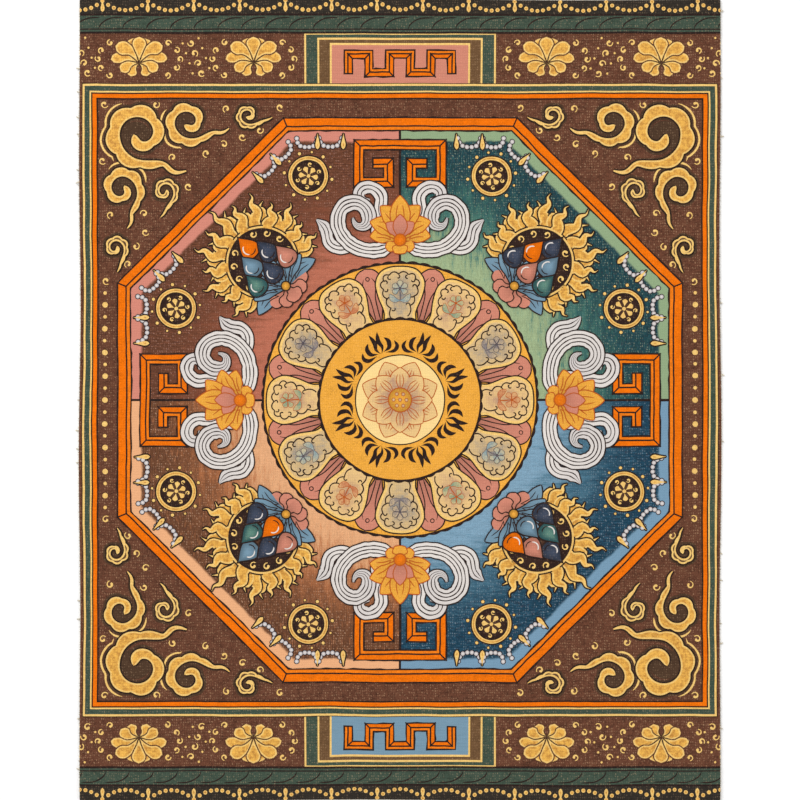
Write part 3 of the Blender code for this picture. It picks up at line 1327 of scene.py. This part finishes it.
class THANGKA_OT_yarn_ends(Undoable, bpy.types.Operator):
    """Fray the four cut sides with short ends of yarn"""

    bl_idname = "thangka.yarn_ends"
    bl_label = "Yarn ends"

    def execute(self, context):
        draw = random.Random(41)
        size = sizes()
        bm = bmesh.new()
        half_x, half_y = CLOTH_HIGH.x - SIDE_SLACK, CLOTH_HIGH.y - SIDE_SLACK
        sides = (
            ("bottom", half_x, half_y, size.thread_across, -90),
            ("right", half_y, half_x, size.thread_up, 0),
            ("top", half_x, half_y, size.thread_across, 90),
            ("left", half_y, half_x, size.thread_up, 180),
        )
        for side, reach, out, pitch, heading in sides:
            count = int(2 * (reach - YARN_FREE_CORNER) / pitch)
            way = polar(1.0, heading)
            along = Vector((-way.y, way.x, 0.0))
            for i in range(count):
                run = (i - (count - 1) / 2) * pitch
                root = way * (out + wander(side, 0.5 + run / (2 * reach)) - YARN_ROOT) + along * run
                reach_out = draw.uniform(*(YARN_LONG if draw.random() < YARN_LONG_SHARE else YARN_SHORT))
                yarn_end(bm, draw, root, way, along, reach_out + YARN_ROOT, pitch * 0.34)
        new_piece("yarn_ends", bm, [paint("cotton")])
        return {"FINISHED"}


def yarn_end(bm, draw, root, way, along, reach, radius):
    """One yarn end: a tapered twist that droops a little and strays to a side."""
    made = bmesh.ops.create_cone(
        bm, cap_ends=True, segments=5, radius1=radius, radius2=radius * 0.55, depth=reach
    )["verts"]
    stray = draw.uniform(-0.5, 0.5) * reach
    droop = draw.uniform(0.0, 0.12) * reach
    middle = cloth_top(root.x, root.y) - CLOTH_THICKNESS / 2
    for vert in made:
        share = vert.co.z / reach + 0.5
        side, rise = vert.co.x, vert.co.y
        spot = root + way * (reach * share) + along * (side + stray * share ** 2)
        spot.z = max(middle + rise - droop * share ** 2, CLOTH_LOW.z + YARN_LOWEST)
        vert.co = spot


class THANGKA_OT_grounds(Undoable, bpy.types.Operator):
    """Paint the ground outside the court and its four fields, divided by ink lines"""

    bl_idname = "thangka.grounds"
    bl_label = "Grounds"

    def execute(self, context):
        film = Film("painted_grounds")
        x, y = (half + EDGE_ROOM for half in half_picture())
        film.patch(points((-x, -y), (x, -y), (x, y), (-x, y)), "ground", GROUND)
        court = mm(sizes().court)
        side = court * math.tan(math.pi / 8)
        quarter = points((0, 0), (court, 0), (court, side), (side, court), (0, court))
        for turn, name in ((90, "field_red"), (0, "field_green"), (-90, "field_blue"), (180, "field_tan")):
            place = placed(turn=turn)
            film.patch(place(quarter), name, FIELD, spot_at(place, court * 0.4, court * 0.4))
            divide = straight(points((mm(sizes().ring) * 0.97, 0), (court, 0)))
            film.stroke(place(divide), 0.5, "ink", MARKS, even_form)
        return film.lay()


class THANGKA_OT_court_wall(Undoable, bpy.types.Operator):
    """Paint the court's eight walls"""

    bl_idname = "thangka.court_wall"
    bl_label = "Court wall"

    def execute(self, context):
        film = Film("court_wall")
        corner_out = mm(sizes().court) / math.cos(math.pi / 8)
        corners = [polar(corner_out, 22.5 + 45 * i) for i in range(8)]
        wall(film, corners, mm(sizes().wall), WALL, closed=True)
        return film.lay()


class THANGKA_OT_border_walls(Undoable, bpy.types.Operator):
    """Paint a closed frame round the court: a green strip between gold lines, a thin orange band inside it"""

    bl_idname = "thangka.border_walls"
    bl_label = "Border walls"

    def execute(self, context):
        film = Film("border_walls")
        width = mm(sizes().border_wall)
        x, y = half_picture()[0] - width * 0.5 - EDGE_ROOM, BAND_FOOT
        corners = straight(points((-x, -y), (x, -y), (x, y), (-x, y)), True, WALL_STEP)
        outer, inner = -width / 2, width / 2
        strips = (
            (outer, inner, "ink"),
            (outer + 0.15, inner - 0.3, "gold_rim"),
            (outer + 0.6, inner - 1.8, "green"),
            (inner - 1.45, inner - 0.3, "ink"),
            (inner - 1.15, inner - 0.3, "orange"),
        )
        for order, (low, high, name) in enumerate(strips):
            film.band(corners, low, high, name, FRAME + order, closed=True)
        return film.lay()


class THANGKA_OT_key_frets(Undoable, bpy.types.Operator):
    """Paint a double key, two hooks that share a bar, at the middle of each upright and level wall"""

    bl_idname = "thangka.key_frets"
    bl_label = "Key frets"

    def execute(self, context):
        film = Film("key_frets")
        half = [(5.7, 0.1), (2.5, 0.1), (2.5, -4.1), (9.0, -4.1), (9.0, 4.1)]
        key = points(*half, *((-x, y) for x, y in half[::-1]))
        for angle in QUARTERS:
            wall(film, outward(FRET_OUT, angle)(key), mm(sizes().fret), FRET)
        return film.lay()


class THANGKA_OT_petal_ring(Undoable, bpy.types.Operator):
    """Paint the ring: pink back petals, mottled front petals with scrolled lips, and a flower in each"""

    bl_idname = "thangka.petal_ring"
    bl_label = "Petal ring"

    def execute(self, context):
        film = Film("petal_ring")
        size = sizes()
        outer, inner, count = mm(size.ring), mm(size.disc), size.ring_petals
        scalloped_round(film, outer, 0.36, (0.04, 70), RING)
        film.patch(ring_of(outer - 0.32, step=0.6), "yellow", RING + 1, Vector(), (0.3, 0.0))
        for i in range(count):
            back_petal(film, outward(0.0, 90 + 360 * (i + 0.5) / count), inner, outer)
        for i in range(count):
            front_petal(film, outward(0.0, 90 + 360 * i / count), inner, outer, i)
        return film.lay()


def back_petal(film, place, inner, outer):
    """A pink petal that shows between two front ones."""
    spine = drawn(place, (0, inner - 2), (0, inner + 6), (0, outer - 0.55), step=0.36)
    film.leaf(spine, 6.6, lined("pink", 0.3), RING + 2, drop_form, (0.9, 0.0))
    vein = ((0.5, inner), (0.62, inner + 5.2), (1.5, outer - 4.2), (0.9, outer - 2.6))
    for side in (-1, 1):
        film.stroke(drawn(place, *((side * x, y) for x, y in vein), step=0.5), 0.24, "ink", RING + 4)
    film.loop(place(ring_of(0.42, (0, outer - 2.7), FINE_STEP, 8)), 0.2, "ink", RING + 4)


def front_petal(film, place, inner, outer, order):
    """A mottled petal with a gold rim, a scrolled lip and a flower."""
    top = outer - 1.05
    half = points((2.75, inner - 1.2), (3.35, inner + 1.6), (4.75, inner + 5.2), (5.15, inner + 8.0),
                  (3.9, top - 0.9), (1.7, top))
    outline = smooth(half + [Vector((-p.x, p.y, 0.0)) for p in half[::-1]], closed=True, step=0.5)
    middle = (inner + outer) / 2
    fill = "cream" if order % 2 else "sage"
    coats = (("ink", 0.30), ("gold_rim", 0.0), (fill, -0.55))
    film.spot(place(outline), coats, RING + 5, (0.9, 0.0), spot_at(place, 0, middle))
    scroll_lip(film, place, outline, RING + 8)
    sprig(film, within(place, 0.0, middle - 0.2), RING + 9, *WASHES[order % len(WASHES)])


def scroll_lip(film, place, outline, level):
    """An ink line inside a petal's edge that swings in lobes, with a small hook where two lobes meet."""
    lobes, depth, bend = 12, 0.62, 0.38
    inside = beside(outline, 1.0, closed=True)
    edge = even(inside[round(len(inside) * 0.05):-round(len(inside) * 0.17)], FINE_STEP)
    ways = side_ways(edge)
    waves = [depth * (1 - abs(math.sin(math.pi * lobes * s)) ** 0.7) for s in shares(edge)]
    lip = [p + way * w for p, way, w in zip(edge, ways, waves)]
    film.stroke(place(lip), 0.27, "ink", level, even_form)
    for i in range(1, lobes):
        at = round(len(edge) * i / lobes)
        lean = math.degrees(math.atan2(ways[at].y, ways[at].x))
        centre = edge[at] + ways[at] * depth + ways[at] * bend
        turned = 215 if i % 2 else -215
        hook = arc(bend, lean + 180, lean + 180 + turned, centre, FINE_STEP * 0.7)
        film.stroke(place(hook), 0.26, "ink", level)


class THANGKA_OT_disc(Undoable, bpy.types.Operator):
    """Paint the gold disc: a pale round with a line-drawn lotus, and sprays of black leaves about it"""

    bl_idname = "thangka.disc"
    bl_label = "Gold disc"

    def execute(self, context):
        film = Film("gold_disc")
        radius = mm(sizes().disc)
        base = RING + 10
        scalloped_round(film, radius, 0.32, (0.03, 46), base)
        film.patch(ring_of(radius - 0.36, step=0.45), "yellow", base + 1, Vector(), (0.0, 0.15))
        halo = ring_of(HALO_RADIUS, step=0.5)
        film.spot(halo, lined("halo_cream", 0.26), base + 2, (0.8, 0.0), Vector())
        for reach, width, start, level in ((8.7, 4.9, 22.5, base + 4), (7.0, 4.1, 0.0, base + 6)):
            for i in range(8):
                lotus_petal(film, outward(0.0, 90 + start + 45 * i), reach, width, level)
        film.spot(ring_of(2.5, step=0.35), lined("yellow", 0.22, "red_line"), base + 9, (0.0, 0.8), Vector())
        for i in range(7):
            film.bead(polar(1.45 if i else 0.0, 60 * i), 0.34, lined("cream", 0.12, "red_line"), base + 11)
        for i in range(8):
            for place in both_hands(SPRAY_OUT, 90 + 22.5 + 45 * i):
                for *path, width in SPRAY_LEAVES:
                    film.leaf(drawn(place, *path), width, (("ink", 0.0),), base + 2, leaf_form)
        return film.lay()


def lotus_petal(film, place, reach, width, level):
    """A petal of the disc's lotus, with three fine veins."""
    spine = drawn(place, (0, 1.4), (0, reach * 0.6), (0, reach), step=0.42)
    film.leaf(spine, width, lined("cream", 0.2, "red_line"), level, leaf_form, (1.0, 0.0))
    for side in (-0.55, 0.0, 0.55):
        vein = ((side * 0.4, 2.4), (side * 1.5, reach * 0.58), (side * 0.9, reach * 0.80))
        film.stroke(drawn(place, *vein, step=0.45), 0.17, "red_line", level + 2)


class THANGKA_OT_lotus_blossoms(Undoable, bpy.types.Operator):
    """Paint an orange-lined gold lotus between white ribbons at each quarter of the court"""

    bl_idname = "thangka.lotus_blossoms"
    bl_label = "Lotus blossoms"

    def execute(self, context):
        film = Film("lotus_blossoms")
        for angle in QUARTERS:
            for place in both_hands(BLOSSOM_OUT, angle):
                for order, (width, path) in enumerate(RIBBONS):
                    ribbon(film, place, path, width, RIBBON + order * 3, 3 if width > 3.0 else 2)
            lotus_head(film, outward(BLOSSOM_OUT, angle))
        return film.lay()


def lotus_head(film, place):
    """The blossom: an outer and an inner fan of petals over a bound foot."""
    coats = lined("yellow", 0.24, "red_line")
    level = RIBBON + 12
    fan(film, within(place, 0.0, -3.6, 180), level, ((58, 3.6, 2.3), (20, 3.3, 2.2)), coats, shade=(0.5, 0.1))
    root = within(place, 0.0, -4.2)
    petals = ((80, 6.6, 3.4), (56, 7.8, 3.7), (29, 8.8, 3.9), (0, 9.9, 4.2))
    fan(film, root, level, petals, coats, leaf_form, (0.7, 0.1), "red_line")
    heart = lined("pink", 0.22, "red_line")
    fan(film, root, level + 8, ((36, 5.0, 2.6), (0, 5.8, 2.9)), heart, leaf_form, (0.8, 0.0))
    film.bead(spot_at(place, 0, -3.9), 1.2, lined("orange_light", 0.24, "red_line"), level + 12, 14)


class THANGKA_OT_flaming_jewels(Undoable, bpy.types.Operator):
    """Paint jewels heaped on a lotus in a ring of gold fire, on the four diagonals"""

    bl_idname = "thangka.flaming_jewels"
    bl_label = "Flaming jewels"

    def execute(self, context):
        film = Film("flaming_jewels")
        for order, angle in enumerate(QUARTERS):
            place = outward(JEWELS_OUT, angle + 45)
            ring_of_fire(film, place)
            lotus_seat(film, place)
            jewel_heap(film, place, order)
        return film.lay()


def ring_of_fire(film, place):
    """A dark halo with tongues of fire on its rim, the upright one longest."""
    centre = Vector((0.0, -1.0, 0.0))
    for orders, level, shorter in ((range(0, 13, 2), JEWEL, 0.0), (range(1, 13, 2), JEWEL + 4, 1.6)):
        for order in orders:
            angle = (order - 6) * 20.0
            root = polar(6.8, 90 - angle, centre)
            reach = 9.2 - 2.2 * abs(angle) / 120 - shorter
            flame(film, within(place, root.x, root.y, -angle * 0.80, order < 6), level, reach)
    halo = (("ink", 0.30), ("gold_rim", 0.0), ("halo", -0.42))
    film.spot(place(ring_of(7.9, centre, 0.5)), halo, JEWEL + 8, (0.0, 1.0), place([centre])[0])
    for order in range(9):
        angle = 90 + (order - 4) * 27
        spot = polar(6.35, angle, centre)
        curl(film, within(place, spot.x, spot.y, angle - 40, order < 4), JEWEL + 11, 0.8, 0.30)


def lotus_seat(film, place):
    """The lotus under the jewels: blue petals up and out, pink ones hanging."""
    level = JEWEL + 11
    hanging = ((80, 5.4, 2.9), (48, 4.7, 2.9), (16, 4.2, 2.9))
    fan(film, within(place, 0.0, -8.0, 180), level, hanging, lined("pink"), shade=(1.0, 0.0))
    rising = ((88, 8.6, 3.2), (66, 7.8, 3.3), (42, 7.2, 3.3), (15, 6.8, 3.3))
    fan(film, within(place, 0.0, -8.9), level, rising, lined("sky"), leaf_form, (1.0, 0.0), "ink")
    film.bead(spot_at(place, 0, -8.3), 0.9, lined("yellow"), level + 9, corners=12)


def jewel_heap(film, place, order):
    """Six jewels in three rows, the back row first."""
    tints = ("slate", "orange", "sky", "slate", "teal", "pink")
    spots = ((0.0, 3.7, 0), (-2.45, 0.3, 3), (2.45, 0.3, 3), (-4.6, -3.3, 6), (4.6, -3.3, 6), (0.0, -3.7, 6))
    for number, (x, y, rise) in enumerate(spots):
        jewel(film, within(place, x, y), JEWEL + 20 + rise, tints[(number + order) % len(tints)])


class THANGKA_OT_brocade_roundels(Undoable, bpy.types.Operator):
    """Paint small roundels of dark brocade with gold bands and dots, beside each double key"""

    bl_idname = "thangka.brocade_roundels"
    bl_label = "Brocade roundels"

    def execute(self, context):
        film = Film("brocade_roundels")
        for angle in QUARTERS:
            for place in both_hands(0.0, angle):
                brocade_roundel(film, within(place, *ROUNDEL_AT))
        return film.lay()


def brocade_roundel(film, place):
    """A gold-banded roundel with a flower of drops, and a wreath of dots and hooks."""
    radius = ROUNDEL_RADIUS
    middle = spot_at(place, 0.0, 0.0)
    band = (*GOLD_COATS[:2], ("gold", -0.22), ("gold_rim", -0.50))
    film.spot(place(ring_of(radius, step=0.45)), band, SWAG, centre=middle)
    field = (("ink", 0.0), ("halo", -0.2))
    film.spot(place(ring_of(radius - 0.78, step=0.45)), field, SWAG + 4, centre=middle)
    for i in range(6):
        spine = drawn(within(place, turn=60 * i), (0, 0.55), (0, 1.3), (0, 2.15))
        film.leaf(spine, 1.15, THIN_GOLD_COATS, SWAG + 6, drop_form)
        spot = polar(2.55, 60 - 60 * i)
        curl(film, within(place, spot.x, spot.y, -60 * i), SWAG + 6, 0.5, 0.24)
    for i in range(12):
        dot = place([polar(radius + 0.95, 30 * i)])[0]
        film.bead(dot, 0.36 if i % 2 else 0.26, lined("gold_rim", 0.14), SWAG, 8)
    film.bead(middle, 0.42, RIM_COATS, SWAG + 7)


class THANGKA_OT_pearl_swags(Undoable, bpy.types.Operator):
    """Paint strings of pearls that hang inside the walls, with a gold drop where they meet"""

    bl_idname = "thangka.pearl_swags"
    bl_label = "Pearl swags"

    def execute(self, context):
        film = Film("pearl_swags")
        top = mm(sizes().court) - mm(sizes().wall) / 2 - 0.5
        foot = top - 2.6
        for side in range(8):
            for place in both_hands(0.0, 45 * side):
                for start, end in ((12.4, 18.0), (18.0, 22.7)):
                    middle = (start + end) / 2
                    swag = points((start, top), (middle - 1.6, foot), (middle + 1.6, foot), (end, top))
                    for spot in even(place(smooth(swag)), PEARL_GAP)[1:-1]:
                        film.bead(spot, PEARL_RADIUS, PEARL_COATS, SWAG)
                for x in (12.4, 18.0):
                    drop = drawn(place, (x, top), (x, top - 1.6), (x, top - 3.4))
                    film.leaf(drop, 1.0, GOLD_COATS, SWAG + 1, drop_form)
        return film.lay()


class THANGKA_OT_corner_clouds(Undoable, bpy.types.Operator):
    """Paint cloud scrolls and loose curls in the four corners outside the court"""

    bl_idname = "thangka.corner_clouds"
    bl_label = "Corner clouds"

    def execute(self, context):
        film = Film("corner_clouds")
        for flip in (False, True):
            for turn in (0, 180):
                corner = placed(turn=turn, mirror=flip)
                for order, (x, y, size, lean, mirror, hollow) in enumerate(CORNER_CLOUDS):
                    coats = HOLLOW_COATS if hollow else GOLD_COATS
                    place = within(corner, x, y, lean, mirror)
                    cloud(film, place, CLOUD + 1 + 3 * order, size, coats, not hollow)
                for x, y, lean in CORNER_CURLS:
                    curl(film, within(corner, x, y, lean), CLOUD, 0.85, 0.30)
        return film.lay()


class THANGKA_OT_vine_borders(Undoable, bpy.types.Operator):
    """Paint the bands at the top and bottom: gold lotuses, and a panel with a running key in the middle"""

    bl_idname = "thangka.vine_borders"
    bl_label = "Vine borders"

    def execute(self, context):
        film = Film("vine_borders")
        key = []
        for i in range(6):
            x, y = (i - 2.5) * 4.5, VINE_MIDDLE - 1.2
            rise = 2.0 if i % 2 else -2.0
            key += [(x, y + rise), (x, y - rise)]
        for turn, panel in ((0, "pink"), (180, "sky")):
            for mirror in (False, True):
                lotus_run(film, placed(turn=turn, mirror=mirror))
            place = placed(turn=turn)
            for order, (reach, tint) in enumerate(((20.5, "green"), (17.6, "brown"), (14.9, panel))):
                rise = VINE_HIGH - order * 1.15
                level = MARKS + order * 2
                box(film, place, -reach - 0.4, VINE_LOW - 1, reach + 0.4, rise, "gold_rim", level)
                box(film, place, -reach, VINE_LOW - 1, reach, rise - 0.45, tint, level + 1)
            wall(film, place(points(*key)), 2.1, MARKS + 6)
        return film.lay()


def lotus_run(film, place):
    """Half of a band: two lotuses in rings of small hooks, with rows of hooks and dots between them."""
    petals = ((150, 3.5, 2.3), (117, 4.4, 2.4), (84, 6.1, 2.3), (26, 5.3, 3.0), (55, 6.2, 2.9), (0, 5.5, 3.0))
    for x in (32.0, 57.0):
        fan(film, within(place, x, VINE_MIDDLE - 0.9), MARKS, petals, GAP_COATS, shade=(0.7, 0.0))
        for order in range(16):
            angle = order * math.tau / 16
            side, rise = 8.9 * math.cos(angle), 5.0 * math.sin(angle) - 0.2
            if abs(rise) < 4.2:
                hook = within(place, x + side, VINE_MIDDLE + rise, 24 * order + 60, order % 2 == 0)
                curl(film, hook, MARKS, 0.72, 0.32)
    for x in (44.5, 69.4):
        for rise, lean in ((-3.3, 20), (-1.1, 140), (1.1, 260), (3.3, 30)):
            across, up = x + rise * 0.35, VINE_MIDDLE + rise
            curl(film, within(place, across, up, lean, rise > 0), MARKS, 0.8, 0.32)
            for off, lift in ((1.9, 0.0), (-1.7, 1.1)):
                film.bead(spot_at(place, across + off, up + lift), 0.26, RIM_COATS, MARKS, 7)


class THANGKA_OT_edge_strips(Undoable, bpy.types.Operator):
    """Paint the scale strip and the beaded strip at the top and bottom, and bead rows beside the court"""

    bl_idname = "thangka.edge_strips"
    bl_label = "Edge strips"

    def execute(self, context):
        film = Film("edge_strips")
        end = half_picture()[0] + 1
        for turn in (0, 180):
            place = placed(turn=turn)
            box(film, place, -end, SCALE_LOW, end, SCALE_HIGH, "green", MARKS + 6)
            box(film, place, -end, BEAD_LOW, end, BEAD_LOW + 5, "black_strip", MARKS + 6)
            for y, half in ((SCALE_LOW, 0.2), (SCALE_HIGH, 0.2), (SCALE_LOW + 0.75, 0.13)):
                film.band(straight(place(points((-end, y), (end, y)))), -half, half, "ink", MARKS + 8)
            scale_row(film, place, end)
            bead_row(film, place)
        for side in (-1, 1):
            for i in range(19):
                spot = Vector((side * 64.4, (i - 9) * 2.6, 0.0))
                film.bead(spot, 0.62 if i % 2 else 0.40, RIM_COATS, MARKS, 10)
        return film.lay()


def scale_row(film, place, end):
    """Overlapping scales, each an inked hook."""
    for i in range(int(2 * (end - 1) / SCALE_PITCH) + 2):
        x, y = i * SCALE_PITCH - end, SCALE_LOW
        hook = ((x, y + 0.9), (x + 0.6, y + 2.0), (x + 2.6, y + 3.1), (x + 5.4, y + 3.3))
        film.stroke(drawn(place, *hook, step=STROKE_STEP), 0.26, "ink", MARKS + 8)


def bead_row(film, place):
    """Garlands of gold beads with a drop between them."""
    for i in range(-7, 8):
        x, y = (i - 0.5) * GARLAND_PITCH, BEAD_LOW
        for j in range(9):
            share = j / 8
            spot = spot_at(place, x + GARLAND_PITCH * share, y + 3.0 - 8.0 * share * (1 - share))
            film.bead(spot, 0.46, (("gold_rim", 0.0), ("gold", -0.22)), MARKS + 8, 8)
        drop = drawn(place, (x, y + 3.4), (x, y + 2.0), (x, y + 0.6))
        film.leaf(drop, 0.9, THIN_GOLD_COATS, MARKS + 8, drop_form)


# The stage: the floor's reach, the world's light, each lamp's name, place, size and power, and the camera's
# distance and share of the picture's height that it shows. Lengths in metres.
FLOOR_REACH = 1.5
DAYLIGHT = 0.55
LAMPS = (("window", (-0.55, 0.65, 0.95), 0.9, 10.6), ("bounce", (0.7, -0.5, 0.8), 0.9, 3.0))
CAMERA_DISTANCE = 0.75
HEIGHT_SHOWN = 0.998


class THANGKA_OT_stage(Undoable, bpy.types.Operator):
    """Set a plain pale floor, a broad soft light, a weaker one across from it, the camera straight above"""

    bl_idname = "thangka.stage"
    bl_label = "Stage"

    def execute(self, context):
        scene = context.scene
        bm = bmesh.new()
        bmesh.ops.create_grid(bm, x_segments=8, y_segments=8, size=FLOOR_REACH)
        new_object("floor", bm, [paint("floor")])

        world = bpy.data.worlds.new("soft_daylight")
        world.use_nodes = True
        background = world.node_tree.nodes["Background"]
        background.inputs["Color"].default_value = (1.0, 1.0, 1.0, 1.0)
        background.inputs["Strength"].default_value = DAYLIGHT
        scene.world = world
        for name, spot, reach, power in LAMPS:
            light = bpy.data.lights.new(name, "AREA")
            light.size = reach
            light.energy = power
            lamp = bpy.data.objects.new(name, light)
            lamp.location = spot
            lamp.rotation_mode = "QUATERNION"
            lamp.rotation_quaternion = Vector(spot).to_track_quat("Z", "Y")
            scene.collection.objects.link(lamp)

        camera = bpy.data.cameras.new("camera")
        camera.sensor_width = 36.0
        camera.lens = camera.sensor_width * CAMERA_DISTANCE / (sizes().picture_height * HEIGHT_SHOWN)
        camera.clip_start = 0.01
        eye = bpy.data.objects.new("camera", camera)
        eye.location = (0.0, 0.0, CAMERA_DISTANCE + cloth_top(0.0, 0.0))
        scene.collection.objects.link(eye)
        scene.camera = eye
        scene.view_settings.view_transform = "Standard"
        return {"FINISHED"}


PIECE_OPERATORS = (
    THANGKA_OT_cloth,
    THANGKA_OT_yarn_ends,
    THANGKA_OT_grounds,
    THANGKA_OT_court_wall,
    THANGKA_OT_border_walls,
    THANGKA_OT_key_frets,
    THANGKA_OT_petal_ring,
    THANGKA_OT_disc,
    THANGKA_OT_lotus_blossoms,
    THANGKA_OT_flaming_jewels,
    THANGKA_OT_brocade_roundels,
    THANGKA_OT_pearl_swags,
    THANGKA_OT_corner_clouds,
    THANGKA_OT_vine_borders,
    THANGKA_OT_edge_strips,
    THANGKA_OT_stage,
)


class THANGKA_PT_canvas(bpy.types.Panel):
    """Sizes, colours and pieces of the painted canvas"""

    bl_idname = "THANGKA_PT_canvas"
    bl_label = "Painted canvas"
    bl_space_type = "VIEW_3D"
    bl_region_type = "UI"
    bl_category = "Canvas"

    def draw(self, context):
        for group in (context.scene.canvas_sizes, context.scene.paint_colours):
            column = self.layout.column()
            for name in group.__annotations__:
                column.prop(group, name)
        for operator in PIECE_OPERATORS:
            self.layout.operator(operator.bl_idname)


CLASSES = (CanvasSizes, PaintColours, *PIECE_OPERATORS, THANGKA_PT_canvas)


def register():
    for cls in CLASSES:
        bpy.utils.register_class(cls)
    bpy.types.Scene.canvas_sizes = PointerProperty(type=CanvasSizes)
    bpy.types.Scene.paint_colours = PointerProperty(type=PaintColours)


def unregister():
    del bpy.types.Scene.paint_colours
    del bpy.types.Scene.canvas_sizes
    for cls in reversed(CLASSES):
        bpy.utils.unregister_class(cls)


def main():
    register()
    for operator in PIECE_OPERATORS:
        family, name = operator.bl_idname.split(".")
        getattr(getattr(bpy.ops, family), name)()


if __name__ == "__main__":
    main()
